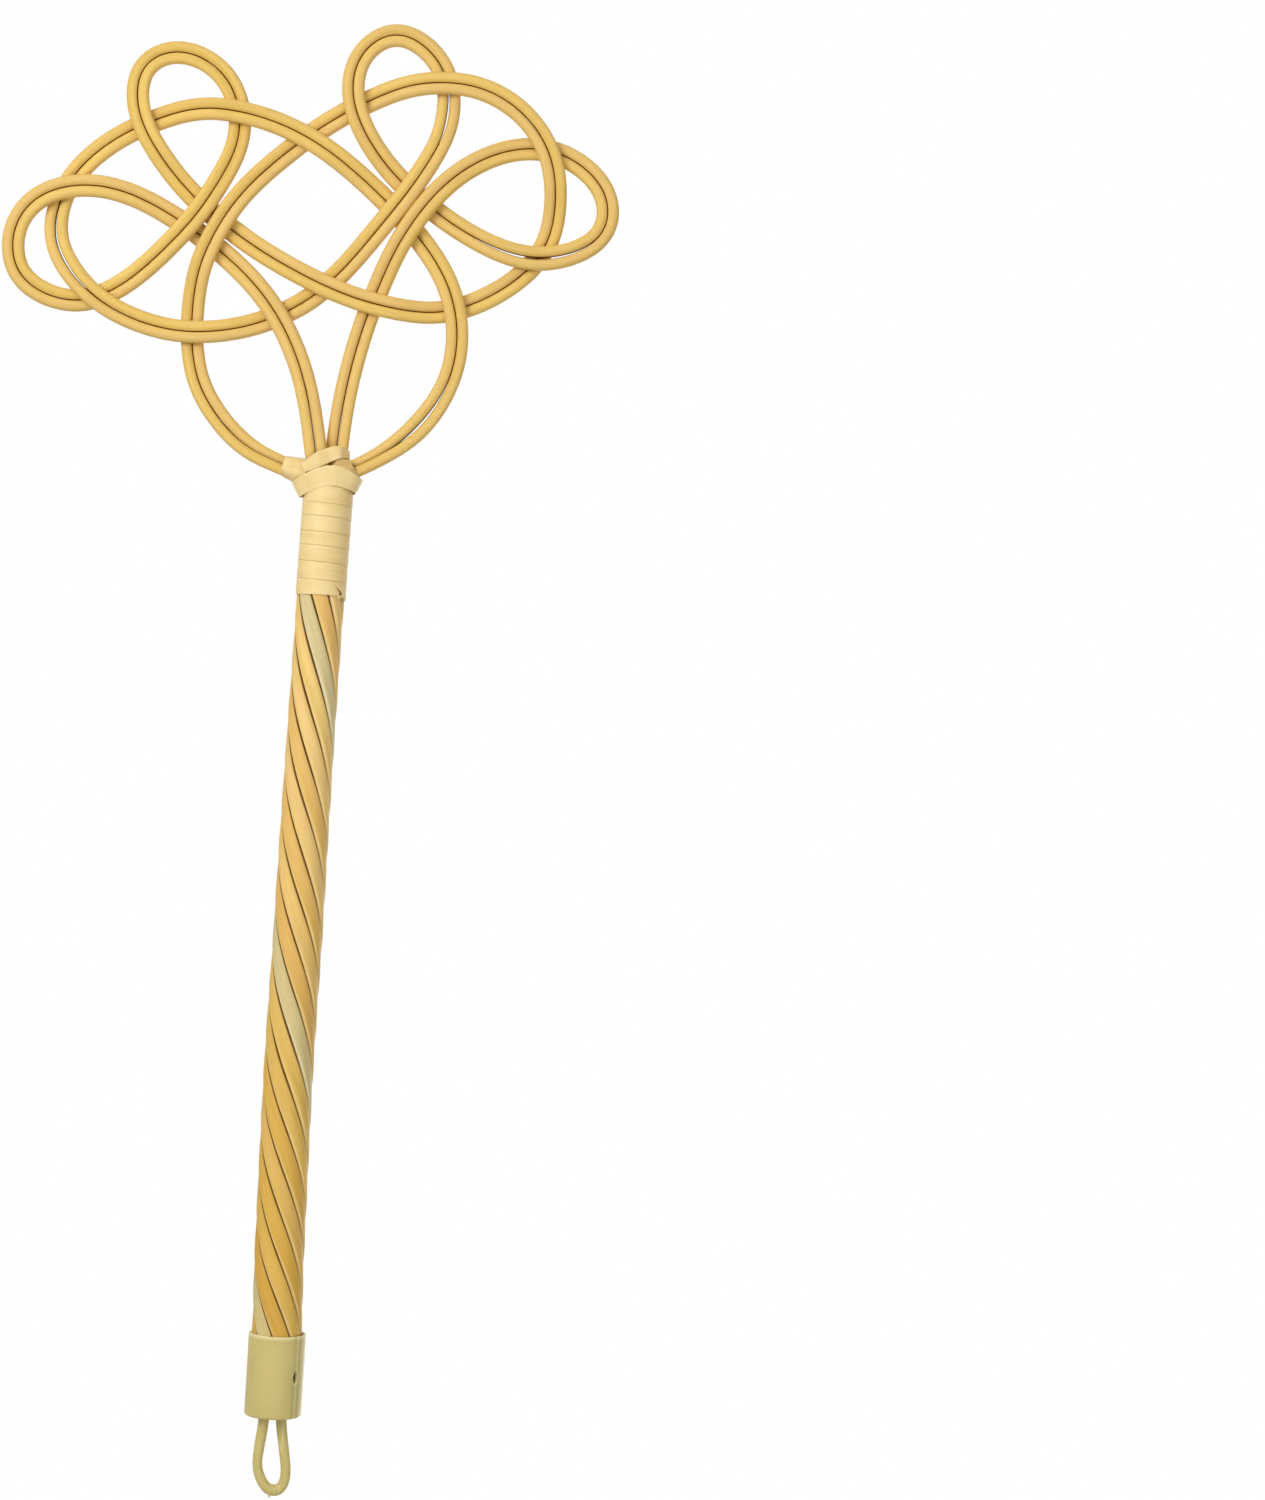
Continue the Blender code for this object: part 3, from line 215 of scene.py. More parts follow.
# Its route: a place inside the bundle as shares of HANDLE_DIAMETER (across, out, front), the way out to the
# strip from there (across, out, front), and the strip's width share
LASHING_SHARES = (
    # the hidden start in front of the right pair, then down and round the right side
    ((0.27, 0.73, 0.02), (0.10, 0.10, 1.00), 0.80),
    ((0.27, 0.61, 0.08), (0.10, 0.00, 1.00), 0.90),
    ((0.29, 0.48, 0.13), (0.35, -0.05, 0.93), 1.00),
    ((0.36, 0.36, 0.08), (0.80, -0.20, 0.55), 0.80),
    ((0.40, 0.28, 0.00), (1.00, -0.25, 0.00), 0.45),
    ((0.27, 0.31, -0.25), (0.60, -0.10, -0.80), 0.80),
    # up behind the neck to the left pair
    ((0.13, 0.36, -0.34), (0.10, 0.00, -1.00), 1.00),
    ((-0.13, 0.46, -0.21), (0.00, 0.00, -1.00), 1.00),
    ((-0.36, 0.55, -0.08), (0.00, 0.15, -1.00), 1.00),
    ((-0.60, 0.57, -0.11), (0.04, 0.40, -0.90), 0.80),
    # over the left pair and below it
    ((-0.70, 0.56, -0.06), (0.08, 1.00, 0.00), 0.90),
    ((-0.69, 0.54, 0.00), (0.06, 0.65, 0.75), 1.20),
    ((-0.68, 0.53, 0.08), (0.00, 0.00, 1.00), 1.35),
    ((-0.66, 0.50, 0.06), (-0.25, -0.60, 0.75), 1.30),
    ((-0.66, 0.47, 0.00), (-0.45, -0.90, 0.00), 1.05),
    ((-0.68, 0.50, -0.06), (-0.25, -0.60, -0.75), 0.85),
    # behind the neck to its right side
    ((-0.61, 0.46, -0.11), (0.00, -0.05, -1.00), 0.85),
    ((-0.34, 0.37, -0.21), (0.00, 0.00, -1.00), 1.00),
    ((0.00, 0.32, -0.34), (0.00, 0.00, -1.00), 1.00),
    ((0.25, 0.29, -0.29), (0.40, -0.20, -0.90), 0.85),
    # the arch across the front
    ((0.44, 0.30, 0.00), (0.90, -0.43, 0.00), 0.74),
    ((0.38, 0.34, 0.21), (0.60, -0.15, 0.78), 0.90),
    ((0.18, 0.40, 0.37), (0.15, 0.00, 1.00), 1.12),
    ((-0.02, 0.39, 0.38), (0.00, 0.00, 1.00), 1.05),
    ((-0.24, 0.30, 0.36), (-0.15, -0.04, 1.00), 1.00),
    ((-0.42, 0.22, 0.23), (-0.60, -0.30, 0.75), 0.95),
    ((-0.50, 0.17, 0.00), (-0.86, -0.50, 0.00), 0.85),
    ((-0.42, 0.22, -0.23), (-0.60, -0.30, -0.80), 0.85),
    # up behind the neck to the notch on the right
    ((-0.17, 0.34, -0.44), (-0.10, 0.00, -1.00), 1.00),
    ((0.04, 0.55, -0.40), (0.00, 0.00, -1.00), 1.00),
    ((0.19, 0.76, -0.21), (0.10, 0.00, -1.00), 0.85),
    ((0.22, 0.82, -0.04), (0.50, 0.10, -0.85), 0.50),
    # the slanting band across the front, its tail tucked in on the left
    ((0.21, 0.84, -0.05), (1.00, 0.10, 0.00), 0.40),
    ((0.24, 0.88, 0.00), (0.60, 0.05, 0.80), 0.55),
    ((0.15, 0.89, 0.06), (0.10, 0.00, 1.00), 0.70),
    ((-0.03, 0.81, 0.04), (0.00, 0.00, 1.00), 0.76),
    ((-0.20, 0.71, 0.13), (0.00, 0.00, 1.00), 0.80),
    ((-0.34, 0.61, 0.06), (-0.10, 0.00, 1.00), 0.68),
    ((-0.43, 0.55, 0.04), (-0.25, -0.10, 0.95), 0.50),
)

# End cap, its recess and its loop
CAP_DIAMETER = 0.0271
CAP_RIM_ROUND = 0.0007
CAP_END_ROUND = 0.0012
CAP_BORE_CLEARANCE = 0.0003
CAP_RECESS = 0.0055
CAP_FLOOR = 0.0016
CAP_BAR_WIDTH = 0.0036
CAP_RIB_WIDTH = 0.0020
CAP_RIB_DEPTH = 0.0038
CAP_BAR_INSET = 0.0008
CAP_BAR_ROUND = 0.0004
CAP_SEGMENTS = 160
CAP_MOUTH_STEPS = 6
CAP_END_STEPS = 8
CAP_LIP_STEPS = 4
CAP_SHARP_ANGLE = math.radians(35)  # edges of the finished cap that turn more than this look sharp
SHARP_ANGLE = math.radians(40)  # the same for the parts it is joined from, and for the nail
LOOP_DIAMETER = 0.0049
LOOP_STEP = 0.0006
LOOP_SIDES = 28

# The hanging loop's centre line from foot to foot about the hook, and half its width: (X, Z, half width)
LOOP_PLACES = (
    (0.0051, -0.0385, 0.00258), (0.0056, -0.0304, 0.00258), (0.0061, -0.0246, 0.00258),
    (0.0068, -0.0186, 0.00254), (0.0073, -0.0131, 0.00240), (0.0073, -0.0095, 0.00238),
    (0.0065, -0.0056, 0.00242), (0.0047, -0.0017, 0.00248), (0.0024, 0.0012, 0.00258),
    (-0.0001, 0.0023, 0.00276), (-0.0026, 0.0021, 0.00274), (-0.0046, 0.0006, 0.00260),
    (-0.0058, -0.0018, 0.00248), (-0.0063, -0.0052, 0.00244), (-0.0062, -0.0087, 0.00244),
    (-0.0056, -0.0130, 0.00244), (-0.0045, -0.0193, 0.00248), (-0.0035, -0.0252, 0.00254),
    (-0.0028, -0.0309, 0.00258), (-0.0022, -0.0385, 0.00258),
)

# The nub of flash that the mould left on the loop: how far along X it lies, then its (height, radius) places
NUB_ACROSS = 0.0009
NUB_STATIONS = ((0.0040, 0.0004), (0.0052, 0.0004), (0.0062, 0.00022))
NUB_SIDES = 12

# Thin raised lines down the cap's outside: the angle from +X and the height of each
MOULD_LINES = ((math.radians(217), 0.00016), (math.radians(208), 0.00012), (math.radians(37), 0.00014))
MOULD_LINE_REACH = math.radians(1.3)

# Nail through the cap's side
NAIL_DROP = 0.0197  # below the cap's upper end
NAIL_ANGLE = math.radians(51.7)  # from the front
NAIL_SHANK_DIAMETER = 0.0016
NAIL_HEAD_DIAMETER = 0.0027
NAIL_HEAD_THICKNESS = 0.0005
NAIL_LENGTH = 0.0090
NAIL_RISE = 0.0003  # how far the nail's head lies above the strand
NAIL_SIDES = 24
NAIL_TIP_SHARE = 1 / 6
NAIL_HEAD_UNDER_SHARE = 0.96
NAIL_DOME_FROM_SHARE = 0.15
NAIL_DOME_TO_SHARE = 0.97  # less than 1, so that the dome ends in a small flat
NAIL_DOME_RINGS = 7
NAIL_HOLE_WIDTH = 0.0026
NAIL_HOLE_HEIGHT = 0.0058
NAIL_HOLE_SIDES = 32
HOLE_SPLAY = 0.0054  # how much the tool that cuts the hole grows on each side on its way out
HOLE_SPLAY_DEPTH = 0.0005  # how deep under the cap's outside it starts to grow

# Sizes and places that follow from the ones above
PAIR_SPACING = CANE_DIAMETER + PAIR_CLEARANCE
PAIR_WIDTH = PAIR_SPACING + CANE_DIAMETER
WEAVE_HEIGHT = PAIR_SPACING / 2
CAP_END_Z = -LOOP_REACH
CAP_MOUTH_Z = CAP_END_Z - CAP_LENGTH
BINDING_END_Z = CAP_MOUTH_Z - GRIP_LENGTH
NECK_Z = BINDING_END_Z - BINDING_LENGTH
CAP_FLOOR_TOP_Z = CAP_END_Z - CAP_RECESS
CAP_FLOOR_UNDER_Z = CAP_FLOOR_TOP_Z - CAP_FLOOR
NAIL_Z = CAP_END_Z - NAIL_DROP
STRAND_END_Z = CAP_FLOOR_UNDER_Z - END_GAP
STRAND_SLOTS = (-157.5, -112.5, -67.5, -22.5, 22.5, 67.5, 112.5, 157.5)
RING_RADIUS = (HANDLE_DIAMETER - STRAND_THICKNESS) / 2
CAP_BORE_RADIUS = HANDLE_DIAMETER / 2 + CAP_BORE_CLEARANCE


# Curves


def lengths_along(points):
    """The distance along a line of points, from its first point to each one."""
    steps = np.linalg.norm(np.diff(points, axis=0), axis=1)
    return np.concatenate([[0.0], np.cumsum(steps)])


def smooth_line(points, step):
    """A natural cubic through the points, read off again at an even step."""
    points = np.asarray(points, float)
    count = len(points)
    chords = np.linalg.norm(np.diff(points, axis=0), axis=1)
    knots = np.concatenate([[0.0], np.cumsum(np.sqrt(chords))])
    gaps = np.diff(knots)
    slopes = np.diff(points, axis=0) / gaps[:, None]
    system = np.eye(count)
    right_side = np.zeros_like(points)
    for i in range(1, count - 1):
        system[i, i - 1 : i + 2] = gaps[i - 1], 2 * (gaps[i - 1] + gaps[i]), gaps[i]
        right_side[i] = 6 * (slopes[i] - slopes[i - 1])
    bends = np.linalg.solve(system, right_side)
    fine = np.linspace(0.0, knots[-1], count * READINGS_PER_POINT)
    span = np.clip(np.searchsorted(knots, fine, side="right") - 1, 0, count - 2)
    before = (knots[span + 1] - fine)[:, None]
    after = (fine - knots[span])[:, None]
    gap = gaps[span][:, None]
    curve = (
        (bends[span] * before**3 + bends[span + 1] * after**3) / (6 * gap)
        + (points[span] / gap - bends[span] * gap / 6) * before
        + (points[span + 1] / gap - bends[span + 1] * gap / 6) * after
    )
    return even_line(curve, step)


def even_line(points, step):
    """The same line with its points at an even step."""
    along = lengths_along(points)
    places = np.linspace(0.0, along[-1], max(2, round(along[-1] / step) + 1))
    return np.stack([np.interp(places, along, column) for column in points.T], axis=1)


def ease(share):
    """Rises from 0 to 1 with no corner at either end."""
    share = np.clip(share, 0.0, 1.0)
    return share * share * (3 - 2 * share)


def unit(vectors):
    return vectors / np.linalg.norm(vectors, axis=-1, keepdims=True)


def round_about(count):
    """The cosines and sines of even steps round a section."""
    turn = np.arange(count) * FULL_TURN / count
    return np.cos(turn), np.sin(turn)


def directions_along(points):
    return unit(np.gradient(points, axis=0))


# The weave


def crossings(first, second):
    """Where two flat lines cross: (length along the first, length along the second, angle between them)."""
    same = first is second
    starts_a, steps_a = first[:-1], np.diff(first, axis=0)
    starts_b, steps_b = second[:-1], np.diff(second, axis=0)
    apart = starts_b[None] - starts_a[:, None]
    cross = steps_a[:, None, 0] * steps_b[None, :, 1] - steps_a[:, None, 1] * steps_b[None, :, 0]
    cross = np.where(cross == 0, np.inf, cross)
    share_a = (apart[..., 0] * steps_b[None, :, 1] - apart[..., 1] * steps_b[None, :, 0]) / cross
    share_b = (apart[..., 0] * steps_a[:, None, 1] - apart[..., 1] * steps_a[:, None, 0]) / cross
    hit = (share_a >= 0) & (share_a < 1) & (share_b >= 0) & (share_b < 1)
    if same:
        order = np.arange(len(starts_a))
        hit &= order[None, :] > order[:, None] + 2
    along_a, along_b = lengths_along(first), lengths_along(second)
    found = []
    for i, j in zip(*np.nonzero(hit)):
        place_a = along_a[i] + share_a[i, j] * (along_a[i + 1] - along_a[i])
        place_b = along_b[j] + share_b[i, j] * (along_b[j + 1] - along_b[j])
        cosine = abs(np.dot(unit(steps_a[i]), unit(steps_b[j])))
        found.append((place_a, place_b, math.acos(min(1.0, cosine))))
    return found


def level_reach(angle):
    """Half the length over which a pair stays level to clear a pair that crosses it at this angle."""
    return PAIR_WIDTH / 2 * (1 + math.cos(angle)) / math.sin(angle)


def weave_heights(line, passes, weave):
    """The height of a pair's centre line towards the front, level at each crossing and eased between them.

    It starts at the middle of the neck, and its other end reaches the neck at its last crossing's height.
    """
    if len(passes) != len(weave):
        raise ValueError(f"{len(passes)} crossings against {len(weave)} in the weave")
    places, heights = [0.0], [0.0]
    for (place, angle), letter in zip(sorted(passes), weave):
        height = WEAVE_HEIGHT if letter == "O" else -WEAVE_HEIGHT
        reach = level_reach(angle)
        places += [max(place - reach, places[-1]), place + reach]
        heights += [height, height]
    along = lengths_along(line)
    places.append(max(along[-1], places[-1]))
    heights.append(heights[-1])
    places, heights = np.array(places), np.array(heights)
    span = np.clip(np.searchsorted(places, along, side="right") - 1, 0, len(places) - 2)
    width = np.maximum(places[span + 1] - places[span], np.finfo(float).eps)
    share = ease((along - places[span]) / width)
    return heights[span] + share * (heights[span + 1] - heights[span])


def woven_pairs():
    """The two pairs' centre lines, as (across, out, front) points."""
    left = smooth_line(np.array(LEFT_PAIR_SHARES) * HEAD_SPAN, DENSE_STEP)
    right = smooth_line(np.array(RIGHT_PAIR_SHARES) * HEAD_SPAN, DENSE_STEP)
    passes = {"left": [], "right": []}
    for name_a, line_a, name_b, line_b in (
        ("left", left, "left", left),
        ("right", right, "right", right),
        ("left", left, "right", right),
    ):
        for place_a, place_b, angle in crossings(line_a, line_b):
            passes[name_a].append((place_a, angle))
            passes[name_b].append((place_b, angle))
    heights_left = weave_heights(left, passes["left"], LEFT_PAIR_WEAVE)
    heights_right = weave_heights(right, passes["right"], RIGHT_PAIR_WEAVE)
    return np.column_stack([left, heights_left]), np.column_stack([right, heights_right])


# The handle


def twist_table():
    """Distances from the neck towards the cap, and the turn of the strands at each."""
    run = STRAND_END_Z - NECK_Z
    places = np.linspace(0.0, run, TWIST_ROWS)
    toward_cap = np.clip(places / (CAP_MOUTH_Z - NECK_Z), 0.0, 1.0)
    pitch = TWIST_PITCH_AT_NECK + (TWIST_PITCH_AT_CAP - TWIST_PITCH_AT_NECK) * toward_cap
    rate = FULL_TURN / pitch * ease((places - TWIST_START) / TWIST_EASE)
    turn = np.concatenate([[0.0], np.cumsum((rate[1:] + rate[:-1]) / 2 * np.diff(places))])
    return places, turn


TWIST_PLACES, TWIST_TURNS = twist_table()


def strand_angle(slot, below_neck):
    """The angle from the front of the strand in this slot, this far from the neck towards the cap."""
    return math.radians(slot) + np.interp(below_neck, TWIST_PLACES, TWIST_TURNS)


def axis_across(below_neck):
    """How far the handle's slightly bowed axis lies across, this far from the neck towards the cap."""
    share = np.clip(below_neck / (CAP_MOUTH_Z - NECK_Z), 0.0, 1.0)
    leant = ease((share - LEAN_FROM_SHARE) / LEAN_RUN_SHARE)
    back = ease((share - LEAN_BACK_FROM_SHARE) / (1 - LEAN_BACK_FROM_SHARE))
    return -HANDLE_BOW * np.sin(math.pi * share) - HANDLE_LEAN * (leant - LEAN_LOST_SHARE * back)


def squeeze(below_neck):
    """How far the strands are pressed inwards, this far from the neck towards the cap."""
    let_go = ease((below_neck - BINDING_LENGTH) / SQUEEZE_RUN)
    return BINDING_SQUEEZE + (GRIP_SQUEEZE - BINDING_SQUEEZE) * let_go


def strand_half_width(below_neck):
    """The widest half section at which neighbours in the ring keep their clearance."""
    half_slot = math.pi / len(STRAND_SLOTS)
    reach = (RING_RADIUS - squeeze(below_neck)) * math.sin(half_slot) - STRAND_GAP / 2
    flat = STRAND_THICKNESS / 2 * math.sin(half_slot)
    return np.sqrt(reach**2 - flat**2) / math.cos(half_slot)


def ring_points(slot, below_neck):
    """Points on a strand's centre line and its sideways directions, as (across, out, front)."""
    angle = strand_angle(slot, below_neck)
    radius = RING_RADIUS - squeeze(below_neck)
    across = axis_across(below_neck) + radius * np.sin(angle)
    points = np.stack([across, -below_neck, radius * np.cos(angle)], axis=1)
    tilt = (STRAND_TILT * ease((below_neck - TWIST_START) / TWIST_EASE))[:, None]
    round_ring = np.stack([np.cos(angle), np.zeros_like(angle), -np.sin(angle)], axis=1)
    outward = np.stack([np.sin(angle), np.zeros_like(angle), np.cos(angle)], axis=1)
    sideways = np.cos(tilt) * round_ring - np.sin(tilt) * outward
    return points, sideways * facing(slot)


def facing(slot):
    """1 for a slot at the front and -1 for one at the back, whose sideways direction is turned round."""
    return math.copysign(1.0, math.cos(math.radians(slot)))


PATH_FIELDS = ("points", "along", "sideways", "half_width", "half_thickness", "flatness", "seam")


class Path:
    """A cane's centre line and, at each point, its frame, half sizes, flatness (0 to 1) and seam.

    The seam is 1 or -1, for the side on which the cane meets its neighbour in a shaded line.
    """

    def __init__(self, points, along, sideways, half_width, half_thickness, flatness, seam):
        self.points, self.along, self.sideways = points, along, sideways
        self.half_width = np.broadcast_to(half_width, len(points))
        self.half_thickness = np.broadcast_to(half_thickness, len(points))
        self.flatness = np.broadcast_to(flatness, len(points))
        self.seam = np.broadcast_to(seam, len(points))

    def turned_about(self):
        """The same path travelled from its other end."""
        values = self.half_width[::-1], self.half_thickness[::-1], self.flatness[::-1], -self.seam[::-1]
        return Path(self.points[::-1], -self.along[::-1], -self.sideways[::-1], *values)

    def then(self, other):
        """This path and the next, whose first point repeats this one's last."""
        pairs = [(getattr(self, name), getattr(other, name)[1:]) for name in PATH_FIELDS]
        return Path(*[np.concatenate(pair) for pair in pairs])

    def frames(self):
        """The sideways and forward directions at each point, square to the line and to each other."""
        along = unit(self.along)
        sideways = unit(self.sideways - (self.sideways * along).sum(axis=1, keepdims=True) * along)
        return sideways, np.cross(along, sideways)

    def near_neck(self):
        """Points all over the cane where it passes through the neck and the collar."""
        out = self.points[:, 1]
        chosen = (out > -LASHING_WIDTH) & (out < NECK_RUN)
        sideways, forward = self.frames()
        cosines, sines = round_about(CANE_SIDES)
        wide = self.half_width[chosen][:, None] * cosines
        thick = self.half_thickness[chosen][:, None] * sines
        points = self.points[chosen][:, None] + wide[..., None] * sideways[chosen][:, None]
        return (points + thick[..., None] * forward[chosen][:, None]).reshape(-1, 3)


def to_object(points):
    """Turns (across, out, front) points, measured from the neck, into the object's own frame."""
    across, out, front = np.moveaxis(np.asarray(points, float), -1, 0)
    return np.stack([HOOK_OFFSET - across, -front, NECK_Z - out], axis=-1)


def strand_path(slot, from_neck, to_neck):
    """A strand of the handle between two distances from the neck."""
    places = np.linspace(from_neck, to_neck, round((to_neck - from_neck) / STRAND_STEP) + 1)
    points, sideways = ring_points(slot, places)
    along = directions_along(points)
    return Path(points, along, sideways, strand_half_width(places), STRAND_THICKNESS / 2, 1.0, facing(slot))


def turn_path(start, heading, sideways, seam, slot):
    """The bend by which a cane leaves the head, heading into the neck, and takes its slot in the ring."""
    ring, ring_sideways = ring_points(slot, np.zeros(1))
    end = ring[0]
    chord = np.linalg.norm(end - start)
    down = np.array([0.0, -1.0, 0.0])
    controls = (start, start + heading * chord * TURN_HEAD_SHARE, end - down * chord * TURN_RING_SHARE, end)
    share = np.linspace(0.0, 1.0, round(chord / DENSE_STEP))[:, None]
    rest = 1 - share
    points = (
        rest**3 * controls[0] + 3 * rest**2 * share * controls[1]
        + 3 * rest * share**2 * controls[2] + share**3 * controls[3]
    )
    blend = ease(share)
    along = unit(directions_along(points) * (1 - blend) + down * blend)
    across = unit(sideways * (1 - blend) + ring_sideways * blend)
    round_half = CANE_DIAMETER / 2
    half_width = round_half + (strand_half_width(0.0) - round_half) * blend[:, 0]
    half_thickness = round_half + (STRAND_THICKNESS / 2 - round_half) * blend[:, 0]
    seams = seam * (1 - blend[:, 0]) + facing(slot) * blend[:, 0]
    return Path(points, along, across, half_width, half_thickness, blend[:, 0], seams)


def head_path(pair, side, roll, partings):
    """One cane of a pair through the head; side is 1 to the left of its travel and -1 to the right."""
    travel = directions_along(pair[:, :2])
    flat_left = np.stack([-travel[:, 1], travel[:, 0], np.zeros(len(pair))], axis=1)
    along = lengths_along(pair)
    rolled = (roll * ease(1 - along / NECK_RUN))[:, None]
    spacing = PAIR_SPACING + PAIR_OPENING * ease(1 - (along[-1] - along) / NECK_RUN)[:, None]
    for place, reach, opening in partings:
        spacing = spacing + opening * ease(1 - np.abs(along / along[-1] - place) / reach)[:, None]
    offset = np.cos(rolled) * flat_left + np.sin(rolled) * np.array([0.0, 0.0, 1.0])
    points = pair + side * spacing / 2 * offset
    half = CANE_DIAMETER / 2
    chosen = np.append(np.arange(0, len(pair) - 1, HEAD_EVERY), len(pair) - 1)
    return Path(points[chosen], directions_along(points)[chosen], flat_left[chosen], half, half, 0.0, -side)


def cane_path(pair, side, roll, slots, runs, partings):
    """A whole cane: up one strand of the handle, through the head, and down another strand."""
    head = head_path(pair, side, roll, partings)
    first_turn = turn_path(head.points[0], -head.along[0], -head.sideways[0], side, slots[0])
    last_turn = turn_path(head.points[-1], head.along[-1], head.sideways[-1], -side, slots[1])
    inbound = first_turn.then(strand_path(slots[0], 0.0, runs[0]))
    outbound = last_turn.then(strand_path(slots[1], 0.0, runs[1]))
    return inbound.turned_about().then(head).then(outbound)


def strip_faces(corners):
    """Points over both faces of the lashing, from the four corners of each of its sections."""
    share = np.linspace(0.0, 1.0, LASHING_POINTS_ACROSS)[None, :, None]
    inner = corners[:, None, 0] * (1 - share) + corners[:, None, 1] * share
    outer = corners[:, None, 3] * (1 - share) + corners[:, None, 2] * share
    return np.concatenate([inner, outer], axis=1)


def lashing_route():
    """The lashing's places inside the bundle, its ways out and its widths, read off smoothly."""
    rows = np.array([(*place, *way, width) for place, way, width in LASHING_SHARES])
    marks = np.arange(len(rows))
    fine = np.linspace(0, len(rows) - 1, (len(rows) - 1) * LASHING_SUBDIVISIONS + 1)
    route = np.stack([np.interp(fine, marks, column) for column in rows.T], axis=1)
    for _ in range(LASHING_SUBDIVISIONS):
        route[1:-1] = (route[:-2] + 2 * route[1:-1] + route[2:]) / 4
    return route[:, :3] * HANDLE_DIAMETER, unit(route[:, 3:6]), route[:, 6] * LASHING_WIDTH


def among_neighbours(values, reach, pick):
    """Each value replaced by what is picked from it and its neighbours up to this many places away."""
    padded = np.pad(values, reach, mode="edge")
    return pick(np.stack([padded[i : i + len(values)] for i in range(2 * reach + 1)]), axis=0)


def lashing_corners(passed_over):
    """The strip's four corners at each place, clear of what it passes over and of its earlier turns."""
    places, ways, widths = lashing_route()
    heights = np.full(len(places), LASHING_FIRST_HEIGHT_SHARE * HANDLE_DIAMETER)
    for _ in range(LASHING_ROUNDS):
        inner = places + ways * heights[:, None]
        travel = directions_along(inner)
        side = unit(np.cross(travel, ways))
        run = np.cross(ways, side)
        half = side * widths[:, None] / 2
        outer = inner + ways * LASHING_THICKNESS
        corners = np.stack([inner - half, inner + half, outer + half, outer - half], axis=1)
        faces = strip_faces(corners)
        along = lengths_along(inner)
        needed = np.zeros(len(places))
        for i, place in enumerate(places):
            earlier = faces[along < along[i] - LASHING_WIDTH].reshape(-1, 3)
            for passed, gap, reach in (
                (passed_over, LASHING_CLEARANCE, LASHING_REACH),
                (earlier, LASHING_LAYER_GAP, LASHING_OWN_REACH),
            ):
                apart = passed - place
                height = apart @ ways[i]
                near = (np.abs(apart @ run[i]) < LASHING_WINDOW) & (height > 0) & (height < reach)
                near &= np.abs(apart @ side[i]) < widths[i] / 2 + LASHING_MARGIN
                if near.any():
                    needed[i] = max(needed[i], height[near].max() + gap)
        heights = np.maximum(needed, among_neighbours(among_neighbours(needed, 1, np.max), 1, np.mean))
    return corners


# Making pieces


class Signal:
    """A socket in a node tree. Written into an expression, it adds the node for each operation."""

    def __init__(self, graph, socket):
        self.graph, self.socket = graph, socket

    def maths(self, operation, *others, turned=False):
        values = [*others, self] if turned else [self, *others]
        return self.graph.node("ShaderNodeMath", {"operation": operation}, enumerate(values))

    def __add__(self, other):
        return self.maths("ADD", other)

    def __sub__(self, other):
        return self.maths("SUBTRACT", other)

    def __rsub__(self, other):
        return self.maths("SUBTRACT", other, turned=True)

    def __mul__(self, other):
        return self.maths("MULTIPLY", other)

    def __truediv__(self, other):
        return self.maths("DIVIDE", other)

    def __rtruediv__(self, other):
        return self.maths("DIVIDE", other, turned=True)

    def __pow__(self, other):
        return self.maths("POWER", other)

    __radd__, __rmul__ = __add__, __mul__

    def rise(self, low, high):
        """0 below the low value, 1 above the high one, eased between them."""
        values = {"Value": self, "From Min": low, "From Max": high}
        return self.graph.node("ShaderNodeMapRange", {"interpolation_type": "SMOOTHSTEP"}, values)

    def part(self, axis):
        """One of a vector's three numbers."""
        return self.graph.node("ShaderNodeSeparateXYZ", None, {0: self}, output=axis)

    def scaled(self, factors):
        """A vector with a factor of its own for each axis."""
        return self.graph.node("ShaderNodeVectorMath", {"operation": "MULTIPLY"}, {0: self, 1: factors})

    def stretched(self, factor):
        return self.graph.node("ShaderNodeVectorMath", {"operation": "SCALE"}, {0: self, "Scale": factor})

    def moved(self, other):
        return self.graph.node("ShaderNodeVectorMath", {"operation": "ADD"}, {0: self, 1: other})


class Graph:
    """A node tree that is being filled."""

    def __init__(self, tree):
        self.tree = tree

    def add(self, kind, settings=None, values=()):
        """A new node: its settings first, then the values or links of its sockets."""
        made = self.tree.nodes.new(kind)
        for name, setting in (settings or {}).items():
            setattr(made, name, setting)
        for name, value in dict(values).items():
            if isinstance(value, Signal):
                self.tree.links.new(value.socket, made.inputs[name])
            else:
                made.inputs[name].default_value = value
        return made

    def node(self, kind, settings=None, values=(), output=0):
        """A new node's output."""
        return Signal(self, self.add(kind, settings, values).outputs[output])

    def mixed(self, share, first, second, blend="MIX"):
        """A mix of two colours."""
        settings = {"data_type": "RGBA", "blend_type": blend, "clamp_result": False}
        return self.node("ShaderNodeMix", settings, {0: share, 6: first, 7: second}, output=2)

    def noise(self, place, scale=1.0, detail=2.0, roughness=0.5):
        values = {"Vector": place, "Scale": scale, "Detail": detail, "Roughness": roughness}
        return self.node("ShaderNodeTexNoise", {"noise_dimensions": "3D"}, values)

    def vector(self, x, y, z):
        return self.node("ShaderNodeCombineXYZ", None, {0: x, 1: y, 2: z})

    def tinted(self, colour, tint):
        """A colour multiplied by another."""
        return self.mixed(1.0, colour, tint, "MULTIPLY")

    def shaded(self, colour, level):
        """A colour multiplied by one number."""
        return self.tinted(colour, self.vector(level, level, level))

    def place(self):
        """The place in the object's own frame."""
        return self.node("ShaderNodeTexCoord", output=3)

    def carried(self, name):
        """A number that the mesh carries at each point."""
        return self.node("ShaderNodeAttribute", {"attribute_name": name}, output=2)

    def bump(self, height, distance):
        return self.node("ShaderNodeBump", None, {"Height": height, "Distance": distance})


